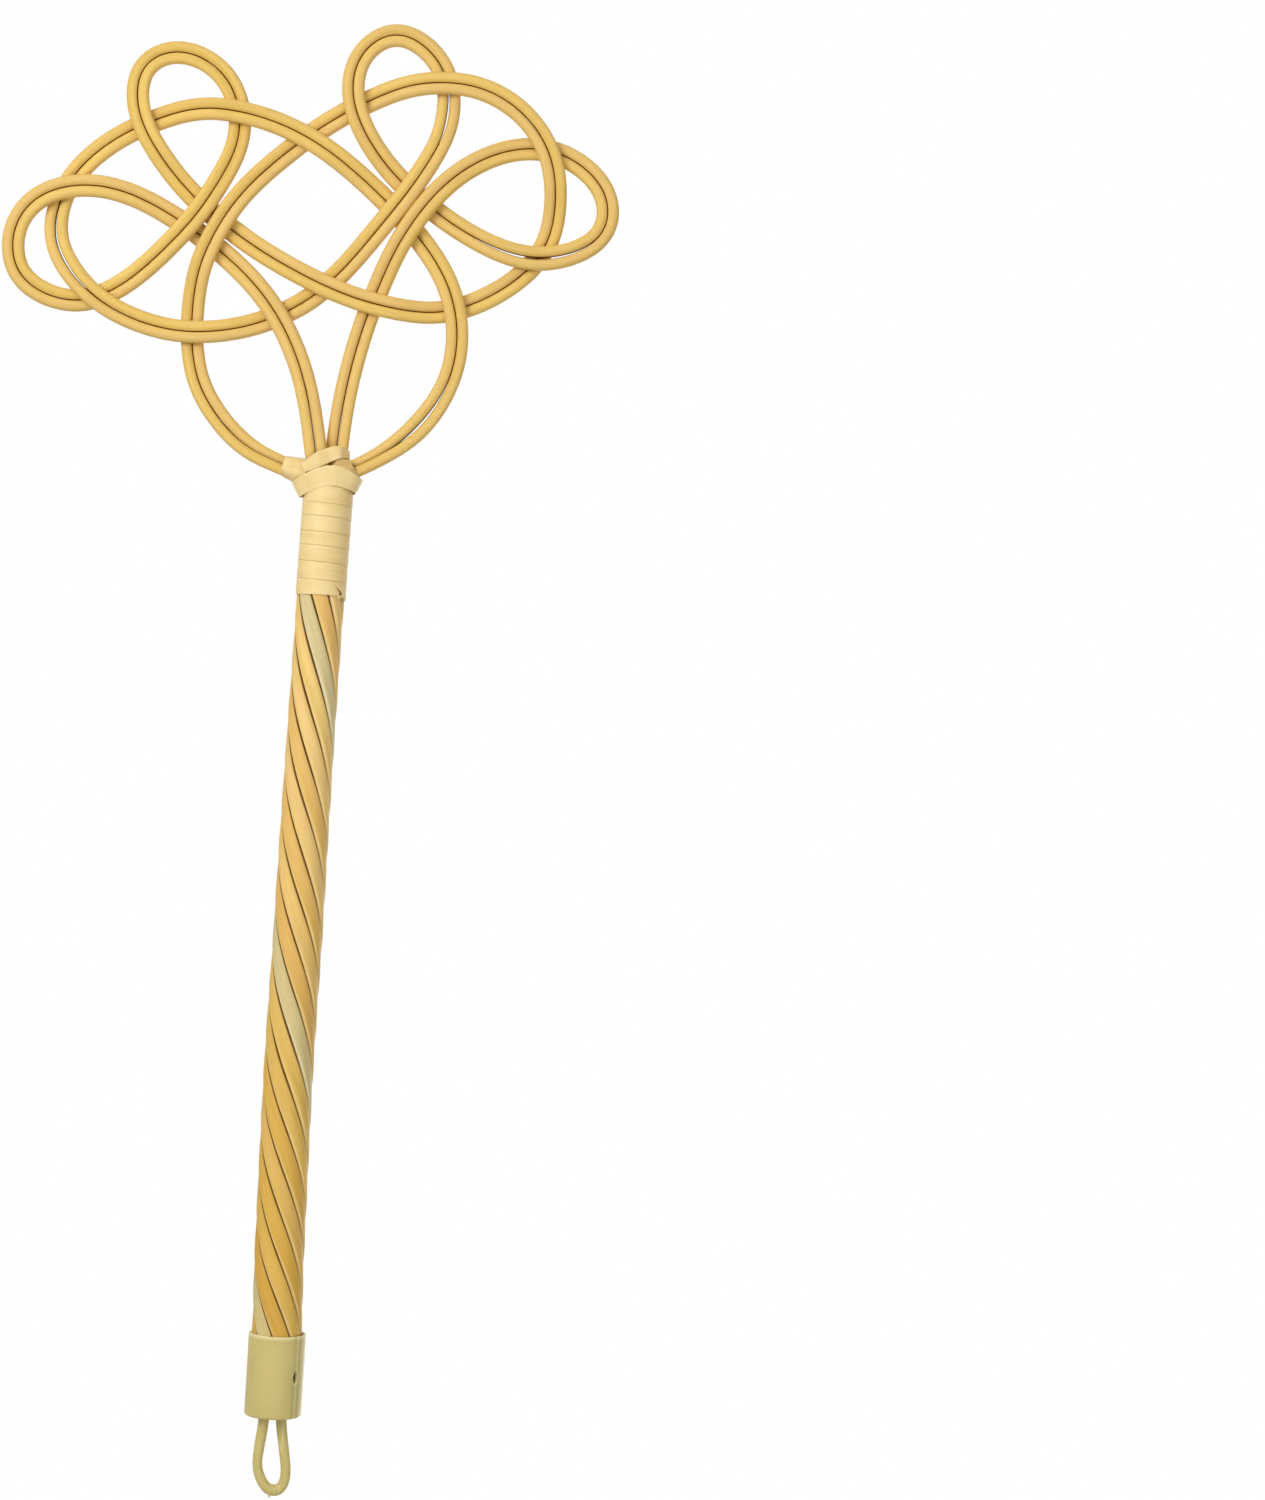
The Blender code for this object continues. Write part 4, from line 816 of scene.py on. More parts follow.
# What a guide's points carry besides their place, and how the skin's ends are rounded off and closed
GUIDE_VECTORS = ("side", "lift")
GUIDE_NUMBERS = ("squareness", "run", "seam", "flat")
END_STEPS = 3
END_TURNS = np.linspace(0.0, math.pi / 2, END_STEPS + 1)[1:]
END_REACH = 0.0004
MERGE_DISTANCE = 0.000002


def skin_tree():
    """Draws a closed skin round a guide, whose points carry the section's half sizes as vectors."""
    tree = bpy.data.node_groups.new("skin along a guide", "GeometryNodeTree")
    kinds = {"Guide": "Geometry", "Sides": "Int", "Tone": "Float", "Finish": "Material"}
    for name, kind in kinds.items():
        tree.interface.new_socket(name, in_out="INPUT", socket_type="NodeSocket" + kind)
    tree.interface.new_socket("Skin", in_out="OUTPUT", socket_type="NodeSocketGeometry")
    graph = Graph(tree)
    given = graph.add("NodeGroupInput")
    guide, sides, tone, material = (Signal(graph, given.outputs[name]) for name in kinds)
    stations = graph.node("GeometryNodeAttributeDomainSize", {"component": "MESH"}, {0: guide})
    row = sides + 1
    size = {"Size X": 1.0, "Size Y": 1.0, "Vertices X": stations, "Vertices Y": row}
    grid = graph.add("GeometryNodeMeshGrid", None, size)
    index = graph.node("GeometryNodeInputIndex")
    station = (index / row).maths("FLOOR")
    angle = (index - station * row) / sides * -FULL_TURN

    def sampled(value, kind):
        settings = {"data_type": kind, "domain": "POINT"}
        return graph.node("GeometryNodeSampleIndex", settings, {0: guide, 1: value, 2: station})

    def carried(name, kind):
        return graph.node("GeometryNodeInputNamedAttribute", {"data_type": kind}, {"Name": name})

    def stored(mesh, name, value, kind="FLOAT", domain="POINT"):
        values = {0: mesh, "Name": name, "Value": value}
        return graph.node("GeometryNodeStoreNamedAttribute", {"data_type": kind, "domain": domain}, values)

    power = 2 / sampled(carried("squareness", "FLOAT"), "FLOAT")
    offsets = []
    for name, turn in zip(GUIDE_VECTORS, ("COSINE", "SINE")):
        share = angle.maths(turn)
        reach = share.maths("SIGN") * share.maths("ABSOLUTE") ** power
        offsets.append(sampled(carried(name, "FLOAT_VECTOR"), "FLOAT_VECTOR").stretched(reach))
    centre = sampled(graph.node("GeometryNodeInputPosition"), "FLOAT_VECTOR")
    place = centre.moved(offsets[0]).moved(offsets[1])
    sheet = Signal(graph, grid.outputs["Mesh"])
    skin = graph.node("GeometryNodeSetPosition", None, {0: sheet, "Position": place})
    for name in ("run", "seam", "flat"):
        skin = stored(skin, name, sampled(carried(name, "FLOAT"), "FLOAT"))
    skin = stored(skin, "tone", tone)
    around = Signal(graph, grid.outputs["UV Map"]).part(1)
    skin = stored(skin, "UVMap", graph.vector(carried("run", "FLOAT"), around, 0.0), "FLOAT2", "CORNER")
    skin = graph.node("GeometryNodeMergeByDistance", None, {0: skin, "Distance": MERGE_DISTANCE})
    skin = graph.node("GeometryNodeSetShadeSmooth", None, {0: skin})
    skin = graph.node("GeometryNodeRealizeInstances", None, {0: skin})
    skin = graph.node("GeometryNodeSetMaterial", None, {0: skin, "Material": material})
    graph.add("NodeGroupOutput", None, {0: skin})
    return tree


def placed(name, data):
    """A new object in the scene."""
    made = bpy.data.objects.new(name, data)
    bpy.context.scene.collection.objects.link(made)
    return made


def plain_mesh(holder, name):
    """What the holder's modifiers make, as an object of its own; the holder goes."""
    graph = bpy.context.evaluated_depsgraph_get()
    mesh = bpy.data.meshes.new_from_object(holder.evaluated_get(graph))
    mesh.name = name
    bpy.data.objects.remove(holder, do_unlink=True)
    return placed(name, mesh)


def skinned(name, points, side, lift, material, sides, squareness, seam=0.0, flat=0.0, tone=0.5):
    """A closed piece along a line, given in the head's own directions; its ends are rounded off."""
    points = to_object(line_lengthened(points))
    side, lift = sizes_narrowed(side), sizes_narrowed(lift)
    side, lift = (to_object(values) - to_object(np.zeros(3)) for values in (side, lift))
    count = len(points)
    spread = [np.broadcast_to(values, count - 2 * END_STEPS) for values in (squareness, seam, flat)]
    squareness, seam, flat = (ends_repeated(values) for values in spread)
    mesh = bpy.data.meshes.new(name + "_guide")
    mesh.from_pydata(points.tolist(), [], [])
    vectors = dict(zip(GUIDE_VECTORS, (side, lift)))
    numbers = dict(zip(GUIDE_NUMBERS, (squareness, lengths_along(points), seam, flat)))
    for label, values in vectors.items():
        carried = mesh.attributes.new(label, "FLOAT_VECTOR", "POINT")
        carried.data.foreach_set("vector", values.astype(np.float32).ravel())
    for label, values in numbers.items():
        carried = mesh.attributes.new(label, "FLOAT", "POINT")
        carried.data.foreach_set("value", values.astype(np.float32))
    holder = placed(name + "_holder", mesh)
    modifier = holder.modifiers.new("skin", "NODES")
    modifier.node_group = SKIN_TREE
    wanted = {"Sides": sides, "Tone": tone, "Finish": material}
    for item in SKIN_TREE.interface.items_tree:
        if item.name in wanted:
            modifier[item.identifier] = wanted[item.name]
    return plain_mesh(holder, name)


def ends_repeated(values):
    """Gives the stations that round off each end the same value as the end itself."""
    return np.pad(values, END_STEPS, mode="edge")


def line_lengthened(points):
    """Adds the few stations past each end of a line over which the piece is rounded off."""
    reach = END_REACH * np.sin(END_TURNS)[:, None]
    before = points[0] + unit(points[0] - points[1]) * reach[::-1]
    after = points[-1] + unit(points[-1] - points[-2]) * reach
    return np.concatenate([before, points, after])


def sizes_narrowed(values):
    """Adds the half sizes of those stations, which close in on the line."""
    share = np.cos(END_TURNS)[:, None]
    return np.concatenate([share[::-1] * values[0], values, share * values[-1]])


def dress(piece, slot, *nodes):
    """The piece rides on the body and stands for these nodes; the slot is not used."""
    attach(piece, "root")
    if nodes:
        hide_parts(*nodes)
    return piece


# Finishes

CANE_SPECULAR = 0.04

# How high the finest relief of each finish stands
CANE_RELIEF = 0.00003
STRIP_RELIEF = 0.00003
CAP_RELIEF = 0.00002
WOOD_RELIEF = 0.00005
STEEL_RELIEF = 0.00002

# How fine the cap's flow lines and the wood's grain are across the handle, twice, and along it
CAP_FLOW_SCALES = (260.0, 260.0, 18.0)
WOOD_GRAIN_SCALES = (900.0, 900.0, 25.0)

# A painted highlight on the cap's lip: it grows paler between these two heights above its mouth
LIP_PALE_FROM = 0.0022
LIP_PALE_TO = 0.0004

# Painted highlights and painted shade in bands along the raised mould lines: the angle from +X, the half
# width, the strength and the kind of each
MOULD_LINE_LIGHT_AND_SHADE = (
    (math.radians(-136), 0.12, 0.35, "shaded"), (math.radians(-142.8), 0.030, 0.75, "pale"),
    (math.radians(-150), 0.07, 0.45, "shaded"), (math.radians(-157), 0.03, 0.45, "pale"),
)

# The pale rim of the nail's hole: the angle from +X, and half its size as an angle and as a height
HOLE_RIM_ANGLE = math.radians(-141.5)
HOLE_RIM_HALF_ANGLE = 0.155
HOLE_RIM_HALF_HEIGHT = 0.0034


def finish(name, **numbers):
    """A material's graph and its shader; a number that is the same all over goes straight to its socket."""
    made = bpy.data.materials.new(name)
    made.use_nodes = True
    shader = made.node_tree.nodes["Principled BSDF"]
    for label, value in numbers.items():
        shader.inputs[label.replace("_", " ").title()].default_value = value
    return made, Graph(made.node_tree), shader


def link(graph, shader, **signals):
    for label, signal in signals.items():
        graph.tree.links.new(signal.socket, shader.inputs[label.replace("_", " ").title()])


def along_and_round(graph):
    """The distance along a piece and the direction round its section."""
    place = graph.node("ShaderNodeUVMap", {"uv_map": "UVMap"})
    angle = place.part(1) * FULL_TURN
    return place.part(0), angle.maths("COSINE"), angle.maths("SINE")


def cane_finish(name, light, deep, warm, flank_shade, edge, seam_shade, neck_end_light, shade_and_tone_tint):
    """Peeled cane: faint streaks, fine mottling, slow changes of tone, and painted light and shade: a brown
    line of shade where it meets the next, shaded flanks, a highlight on a strand's other edge, and strands
    darker towards the cap.
    """
    made, graph, shader = finish(name, coat_roughness=0.45)
    shader.inputs["Specular IOR Level"].default_value = CANE_SPECULAR
    run, wide, high = along_and_round(graph)
    objects = graph.place()
    tone = graph.carried("tone")
    streaks = graph.vector(run * 45 + tone * 90, wide * 3.6, high * 3.6)
    streaks = graph.noise(streaks, detail=3.0, roughness=0.6)
    fibres = graph.noise(graph.vector(run * 160, wide * 13, high * 13), detail=2.0)
    grains = graph.noise(objects, scale=2100.0, detail=2.0, roughness=0.7)
    patches = graph.noise(graph.vector(run * 9 + tone * 40, wide * 0.7, high * 0.7), detail=2.0)
    warmth = graph.noise(graph.vector(run * 1.7 + tone * 70, wide * 0.3 + 5, high * 0.3), detail=1.0)
    body = graph.mixed(patches.rise(0.30, 0.70) * 0.7 + tone * 0.3, deep, light)
    body = graph.mixed(warmth.rise(0.42, 0.62) * 0.7, body, warm)
    shade = 1 - (streaks.rise(0.50, 0.80) * 0.16) - (fibres.rise(0.5, 0.85) * 0.08)
    body = graph.shaded(body, shade * (0.96 + 0.08 * grains))
    toward = wide * graph.carried("seam")
    flat = graph.carried("flat")
    # painted shade: the flanks of a cane in the head are painted deeper, as if turned from the light
    body = graph.mixed(wide.maths("ABSOLUTE").rise(0.70, 1.0) * 0.25 * (1 - flat), body, flank_shade)
    # painted light and shade: the strands are painted paler near the neck and darker and warmer towards the
    # cap, as the light falls off along the handle
    painted_shade_toward_cap = objects.part(2).rise(BINDING_END_Z - HANDLE_DIAMETER, CAP_MOUTH_Z) ** 1.3
    body = graph.mixed(flat, body, graph.tinted(body, graph.mixed(painted_shade_toward_cap, neck_end_light, shade_and_tone_tint)))
    # the same darker tint for the strands of the darker canes, as their own tone
    body = graph.mixed(flat * tone.rise(0.75, 0.25), body, graph.tinted(body, shade_and_tone_tint))
    # painted highlight along each strand's edge away from its seam, where it stands proud to the light
    body = graph.mixed((0 - toward).rise(0.76, 0.90) * 0.60 * flat, body, edge)
    # painted shade over the half of each strand towards its seam
    body = graph.mixed(toward.rise(0.20, 0.80) * 0.30 * flat, body, flank_shade)
    # painted shade: a dark brown line where a cane meets its neighbour, wider here and there along the
    # strands
    gape = graph.noise(graph.vector(run * 11 + tone * 55, 0.0, 0.0), detail=1.0).rise(0.42, 0.62)
    seam = toward.rise(0.86 - (0.08 + 0.10 * gape) * flat, 0.93)
    body = graph.mixed(seam * 0.96, body, seam_shade)
    rough = 0.50 + 0.08 * grains + 0.10 * streaks
    coat = (1 - toward.rise(0.6, 0.8)) * 0.26
    relief = graph.bump(streaks * 0.4 + fibres * 0.2, CANE_RELIEF)
    link(graph, shader, base_color=body, roughness=rough, coat_weight=coat, normal=relief)
    return made


def strip_finish(name, light, deep, line, lashing_start_shade):
    """Split cane skin: glossy, with fine straight fibres, darker edges, and painted shade where the mesh
    carries a shade share in its seam number.
    """
    made, graph, shader = finish(name, coat_roughness=0.24)
    run, wide, high = along_and_round(graph)
    fibres = graph.noise(graph.vector(run * 30, wide * 9, high), detail=3.0, roughness=0.65)
    patches = graph.noise(graph.vector(run * 40, wide * 1.2, high), detail=2.0)
    grains = graph.noise(graph.place(), scale=1700.0, detail=2.0, roughness=0.6)
    body = graph.mixed(patches.rise(0.3, 0.7), deep, light)
    shade = 1 - fibres.rise(0.5, 0.8) * 0.10
    body = graph.shaded(body, shade * (0.97 + 0.06 * grains))
    body = graph.mixed(wide.maths("ABSOLUTE").rise(0.93, 1.0) * 0.12, body, line)
    # painted shade over the lashing's start, where its later turns shade it
    body = graph.mixed(graph.carried("seam") * 0.65, body, lashing_start_shade)
    rough = 0.42 + 0.14 * grains + 0.08 * fibres
    coat = 0.16 - 0.12 * fibres
    relief = graph.bump(fibres + grains * 0.4, STRIP_RELIEF)
    link(graph, shader, base_color=body, roughness=rough, coat_weight=coat, normal=relief)
    return made


def cap_finish(name, body_colour, pale, deep, shaded):
    """Slightly clear moulded plastic: paler at the hole, with a painted highlight at the lip, painted
    highlights and shade along the mould lines, and faint flow lines and scuffs.
    """
    made, graph, shader = finish(name, coat_roughness=0.2, subsurface_weight=0.12, subsurface_scale=0.003)
    objects = graph.place()
    height = objects.part(2)
    flow = graph.noise(objects.scaled(CAP_FLOW_SCALES), detail=2.0)
    scuffs = graph.noise(objects, scale=900.0, detail=4.0, roughness=0.7)
    clouds = graph.noise(objects, scale=60.0, detail=2.0)
    lip = height.rise(CAP_MOUTH_Z + LIP_PALE_FROM, CAP_MOUTH_Z + LIP_PALE_TO)
    body = graph.mixed(clouds.rise(0.35, 0.7) * 0.5 + flow * 0.3, body_colour, deep)
    # painted highlight at the lip
    body = graph.mixed(lip * 0.8, body, pale)
    body = graph.mixed(scuffs.rise(0.62, 0.80) * 0.25, body, pale)
    angle = objects.part(1).maths("ARCTAN2", objects.part(0) - HOOK_OFFSET)
    # painted highlights and painted shade along the mould lines
    for place, reach, share, colour in MOULD_LINE_LIGHT_AND_SHADE:
        near = (angle - place).maths("ABSOLUTE").rise(reach, reach / 3)
        body = graph.mixed(near * share, body, pale if colour == "pale" else shaded)
    beside = (angle - HOLE_RIM_ANGLE) / HOLE_RIM_HALF_ANGLE
    above = (height - NAIL_Z) / HOLE_RIM_HALF_HEIGHT
    rim = beside ** 2 + above ** 2
    body = graph.mixed(rim.rise(1.3, 0.9) * 0.6, body, pale)
    rough = 0.44 + 0.14 * scuffs
    coat = 0.14 - 0.10 * scuffs
    relief = graph.bump(scuffs + flow, CAP_RELIEF)
    link(graph, shader, base_color=body, roughness=rough, coat_weight=coat, normal=relief)
    return made


def wood_finish(name, light, dark):
    """Plain turned wood with its grain along the rod."""
    made, graph, shader = finish(name)
    grain = graph.noise(graph.place().scaled(WOOD_GRAIN_SCALES), detail=3.0)
    body = graph.mixed(grain.rise(0.35, 0.7), light, dark)
    link(graph, shader, base_color=body, roughness=0.6 + 0.2 * grain, normal=graph.bump(grain, WOOD_RELIEF))
    return made


def steel_finish(name, bright, dull):
    """A plain steel nail with spots of tarnish."""
    made, graph, shader = finish(name)
    spots = graph.noise(graph.place(), scale=2600.0, detail=3.0)
    body = graph.mixed(spots.rise(0.45, 0.7), bright, dull)
    metal = 0.7 - 0.5 * spots.rise(0.55, 0.75)
    rough = 0.45 + 0.3 * spots
    relief = graph.bump(spots, STEEL_RELIEF)
    link(graph, shader, base_color=body, metallic=metal, roughness=rough, normal=relief)
    return made


# Canes


def unevenness(points, seed):
    """A cane's slow changes of thickness, as shares of it."""
    run = lengths_along(points)
    chance = np.random.default_rng(seed)
    total = np.zeros(len(points))
    for wave in CANE_WAVES:
        total += np.sin(run / wave * FULL_TURN / 2 + chance.uniform(0, FULL_TURN)) * chance.uniform(0.4, 1.0)
    return 1 + CANE_UNEVENNESS * total / 2


def draw_cane(name, path, material, seed, tone):
    """A cane drawn along its path."""
    sideways, forward = path.frames()
    thickness = unevenness(path.points, seed)[:, None]
    side = sideways * path.half_width[:, None] * thickness
    lift = forward * path.half_thickness[:, None] * thickness
    square = CANE_SQUARENESS + (STRAND_SQUARENESS - CANE_SQUARENESS) * path.flatness
    carried = square, path.seam, path.flatness, tone
    return skinned(name, path.points, side, lift, material, CANE_SIDES, *carried)


def draw_canes():
    """The four woven canes and the filler; returns points all over them near the neck."""
    left, right = woven_pairs()
    run = STRAND_END_Z - NECK_Z
    short_run = FILLER_LAP - FILLER_END_GAP
    left_pair = left, PAIR_ROLL, LEFT_PAIR_FIRST_SLOTS, LEFT_PAIR_LAST_SLOTS, LEFT_PAIR_PARTINGS
    right_pair = right, -PAIR_ROLL, RIGHT_PAIR_FIRST_SLOTS, RIGHT_PAIR_LAST_SLOTS, RIGHT_PAIR_PARTINGS
    plans = (
        # name, pair, side of the pair's line, place in the pair's slots, tone
        ("left_outer_cane", left_pair, 1, 0, 0.30),
        ("left_inner_cane", left_pair, -1, 1, 0.75),
        ("right_outer_cane", right_pair, -1, 0, 0.38),
        ("right_inner_cane", right_pair, 1, 1, 0.85),
    )
    near_neck = []
    for seed, (name, pair, side, place, tone) in enumerate(plans):
        line, roll, first_slots, last_slots, partings = pair
        slots = first_slots[place], last_slots[place]
        runs = [short_run if slot == FILLER_SLOT else run for slot in slots]
        path = cane_path(line, side, roll, slots, runs, partings)
        near_neck.append(path.near_neck())
        dress(draw_cane(name + "_fine", path, GOLDEN_CANE, seed, tone), "cane", name)
    filler = strand_path(FILLER_SLOT, FILLER_LAP, run)
    piece = draw_cane("filler_cane_fine", filler, PALE_CANE, len(plans), FILLER_TONE)
    dress(piece, "pale_cane", "filler_cane")
    return np.concatenate(near_neck)


# Strips


def wound(angles, upper, lower, radius):
    """The centre line and half sizes of a strip laid round the handle between two edges below the neck."""
    below, width = (upper + lower) / 2, lower - upper
    outward = np.stack([np.sin(angles), np.zeros(len(angles)), np.cos(angles)], axis=1)
    centre = np.stack([axis_across(below), -below, np.zeros(len(angles))], axis=1) + outward * radius[:, None]
    down = np.array([0.0, -1.0, 0.0])
    side = (down * math.cos(STRIP_TILT) + outward * math.sin(STRIP_TILT)) * width[:, None] / 2
    travel = np.stack([np.cos(angles), np.zeros(len(angles)), -np.sin(angles)], axis=1)
    return centre, side, unit(np.cross(travel, side)) * STRIP_THICKNESS / 2


def turns_passed(angle):
    """How many pitches the binding has gone down; it runs flatter at the front than at the back."""
    return angle / FULL_TURN - BINDING_FLATTENING * np.sin(angle) / FULL_TURN


def draw_tail(radius):
    """The binding's folded tail and its small tuck, laid over the last turn."""
    degrees, *edges = np.array(TAIL_PLACES).T
    fine = np.linspace(degrees[0], degrees[-1], TAIL_POINTS)
    upper, lower, raised = (np.interp(fine, degrees, values) for values in edges)
    tail = wound(np.radians(fine), upper, lower, radius + raised * STRIP_THICKNESS)
    (start, start_below), (end, end_below) = TUCK_ENDS
    share = np.linspace(0.0, 1.0, TUCK_POINTS)
    angles = np.radians(start + (end - start) * share)
    below = start_below + (end_below - start_below) * share
    reach = np.full(TUCK_POINTS, radius + TUCK_RAISED_SHARE * STRIP_THICKNESS)
    tuck = wound(angles, below - TUCK_WIDTH / 2, below + TUCK_WIDTH / 2, reach)
    for name, route in (("neck_binding_tail", tail), ("neck_binding_tuck", tuck)):
        dress(skinned(name, *route, STRIP, STRIP_SIDES, STRIP_SQUARENESS), "strip")


def draw_binding():
    """The neck binding with its tail; returns points on the turns over which the lashing may pass."""
    count = round((BINDING_END - BINDING_TIP) / FULL_TURN * BINDING_POINTS_PER_TURN) + 1
    angles = np.linspace(BINDING_TIP, BINDING_END, count)
    marks = np.arange(len(BINDING_EDGES)) - 1
    upper, lower = (np.interp(turns_passed(angles) - back, marks, BINDING_EDGES) for back in (1, 0))
    level = ease((angles - BINDING_LEVEL_FROM) / BINDING_LEVEL_RUN)
    lower = lower * (1 - level) + BINDING_EDGES[-1] * level
    grown = np.clip((angles - BINDING_TIP) / (BINDING_FULL - BINDING_TIP), 0.0, 1.0)
    open_still = ease((BINDING_END - angles) / BINDING_CLOSING)
    share = BINDING_TIP_SHARE + (1 - BINDING_TIP_SHARE) * grown
    share = share * (BINDING_END_SHARE + (1 - BINDING_END_SHARE) * open_still)
    radius = HANDLE_DIAMETER / 2 + STRIP_CLEARANCE + STRIP_THICKNESS / 2 - squeeze((upper + lower) / 2)
    centre, side, lift = wound(angles, lower - (lower - upper - STRIP_SEAM) * share, lower, radius)
    strip = skinned("neck_binding_fine", centre, side, lift, STRIP, STRIP_SIDES, STRIP_SQUARENESS)
    draw_tail(radius[-1])
    dress(strip, "strip", "neck_binding")
    first = slice(0, BINDING_TURNS_PASSED * BINDING_POINTS_PER_TURN)
    outer = centre[first] + lift[first]
    shares = np.linspace(-1.0, 1.0, BINDING_POINTS_ACROSS)[None, :, None]
    return (outer[:, None] + side[first][:, None] * shares).reshape(-1, 3)


def draw_lashing(passed_over):
    """The strip laid over the place where the pairs part."""
    corners = lashing_corners(passed_over)
    centre = corners.mean(axis=1)
    side = (corners[:, 1] + corners[:, 2] - corners[:, 0] - corners[:, 3]) / 4
    lift = (corners[:, 2] + corners[:, 3] - corners[:, 0] - corners[:, 1]) / 4
    fine = smooth_line(np.concatenate([centre, side, lift], axis=1), LASHING_FINE_STEP)
    centre, side, lift = fine[:, :3], fine[:, 3:6], fine[:, 6:]
    # painted shade at its hidden start, carried to the finish as the seam number
    shaded = 1 - ease(np.linspace(0.0, 1.0, len(centre)) / LASHING_SHADED_SHARE)
    piece = skinned("collar_lashing_fine", centre, side, lift, STRIP, STRIP_SIDES, STRIP_SQUARENESS, shaded)
    return dress(piece, "strip", "collar_lashing")


# The end cap and the nail


def mesh_object(name, maker):
    """A holder for what has been made, smooth but for its sharp edges; the maker goes."""
    mesh = bpy.data.meshes.new(name)
    bmesh.ops.recalc_face_normals(maker, faces=maker.faces)
    maker.to_mesh(mesh)
    maker.free()
    mesh.shade_smooth()
    mesh.set_sharp_from_angle(angle=SHARP_ANGLE)
    return placed(name + "_holder", mesh)


def tube(rings):
    """A closed tube through rings of corners."""
    made = bmesh.new()
    rows = [[made.verts.new(corner) for corner in ring] for ring in rings]
    for row, following in zip(rows, rows[1:]):
        for i, corner in enumerate(row):
            j = (i + 1) % len(row)
            made.faces.new((corner, row[j], following[j], following[i]))
    made.faces.new(rows[0])
    made.faces.new(rows[-1])
    return made


def turned(profile, segments, swell):
    """A solid turned about Z from (radius, height) points that start and end on the axis."""
    made = bmesh.new()
    rows = []
    angles = np.arange(segments) * FULL_TURN / segments
    for radius, height in profile:
        if radius == 0:
            rows.append([made.verts.new((0.0, 0.0, height))])
            continue
        reach = radius + swell(radius, angles)
        ring = zip(reach * np.cos(angles), reach * np.sin(angles))
        rows.append([made.verts.new((x, y, height)) for x, y in ring])
    for row, following in zip(rows, rows[1:]):
        for i in range(segments):
            j = (i + 1) % segments
            corners = [row[i % len(row)], row[j % len(row)]]
            corners += [following[j % len(following)], following[i % len(following)]]
            made.faces.new(list(dict.fromkeys(corners)))
    return made


def arc(centre_radius, centre_height, radius, from_degrees, to_degrees, steps):
    """Points of a round corner in a turned profile."""
    angles = np.radians(np.linspace(from_degrees, to_degrees, steps + 1))
    return [(centre_radius + radius * math.cos(a), centre_height + radius * math.sin(a)) for a in angles]


def box(low, high, rounding):
    """A box between two opposite corners, with rounded edges."""
    made = bmesh.new()
    bmesh.ops.create_cube(made, size=1)
    bmesh.ops.scale(made, vec=np.array(high) - np.array(low), verts=made.verts)
    bmesh.ops.translate(made, vec=(np.array(high) + np.array(low)) / 2, verts=made.verts)
    bmesh.ops.bevel(made, geom=made.edges[:], offset=rounding, segments=3, affect="EDGES", profile=0.5)
    return made


def combine(target, tool, operation):
    modifier = target.modifiers.new(operation.lower(), "BOOLEAN")
    modifier.object = tool
    modifier.operation = operation
    modifier.solver = "EXACT"


def loop_rings():
    """Rings of corners along the hanging loop."""
    fine = smooth_line(LOOP_PLACES, LOOP_STEP)
    travel = directions_along(fine[:, :2])
    cosines, sines = round_about(LOOP_SIDES)
    rings = []
    for (across, height, radius), (run, rise) in zip(fine, travel):
        wide, deep = radius * cosines, LOOP_DIAMETER / 2 * sines
        rings.append(np.stack([across - rise * wide, deep, height + run * wide], axis=1))
    return rings


def nub_rings():
    """Rings of corners of the small nub of flash that the mould left on the loop."""
    cosines, sines = round_about(NUB_SIDES)
    return [
        np.stack([NUB_ACROSS + reach * cosines, reach * sines, np.full(NUB_SIDES, height)], axis=1)
        for height, reach in NUB_STATIONS
    ]


def nail_rings(stations, sides):
    """Rings about the nail's axis from (distance from the handle's axis, half width, half height)."""
    below = NAIL_Z - NECK_Z
    centre = to_object([axis_across(below), -below, 0.0])
    outward = np.array([-math.sin(NAIL_ANGLE), -math.cos(NAIL_ANGLE), 0.0])
    sideways = np.array([math.cos(NAIL_ANGLE), -math.sin(NAIL_ANGLE), 0.0])
    upward = np.array([0.0, 0.0, 1.0])
    cosines, sines = (values[:, None] for values in round_about(sides))
    return [
        centre + outward * distance + sideways * half_width * cosines + upward * half_height * sines
        for distance, half_width, half_height in stations
    ]


def mould_lines(radius, angles):
    """Thin raised lines down the cap's outside, left by the mould."""
    if radius <= CAP_BORE_RADIUS:
        return np.zeros(len(angles))
    raised = np.zeros(len(angles))
    for place, height in MOULD_LINES:
        apart = np.abs((angles - place + math.pi) % FULL_TURN - math.pi)
        raised += height * np.clip(1 - apart / MOULD_LINE_REACH, 0.0, 1.0)
    return raised


def cap_profile():
    """The cup's section, as (radius, height) points from the axis round its outside and back to the axis."""
    outer, rim, lip = CAP_DIAMETER / 2, CAP_RIM_ROUND, CAP_RIM_ROUND / 2
    profile = [(0.0, CAP_FLOOR_UNDER_Z), (CAP_BORE_RADIUS, CAP_FLOOR_UNDER_Z)]
    profile += [(CAP_BORE_RADIUS, CAP_MOUTH_Z + lip)]
    profile += arc(outer - rim, CAP_MOUTH_Z + rim, rim, -90, 0, CAP_MOUTH_STEPS)
    profile += arc(outer - CAP_END_ROUND, CAP_END_Z - CAP_END_ROUND, CAP_END_ROUND, 0, 90, CAP_END_STEPS)
    profile += arc(CAP_BORE_RADIUS + lip, CAP_END_Z - lip, lip, 90, 180, CAP_LIP_STEPS)
    return profile + [(CAP_BORE_RADIUS, CAP_FLOOR_TOP_Z), (0.0, CAP_FLOOR_TOP_Z)]


def recess_bar(half_length, half_depth, top):
    """A bar that stands on the cap's floor, centred on the handle's axis."""
    low = HOOK_OFFSET - half_length, -half_depth, (CAP_FLOOR_TOP_Z + CAP_FLOOR_UNDER_Z) / 2
    return box(low, (HOOK_OFFSET + half_length, half_depth, top), CAP_BAR_ROUND)


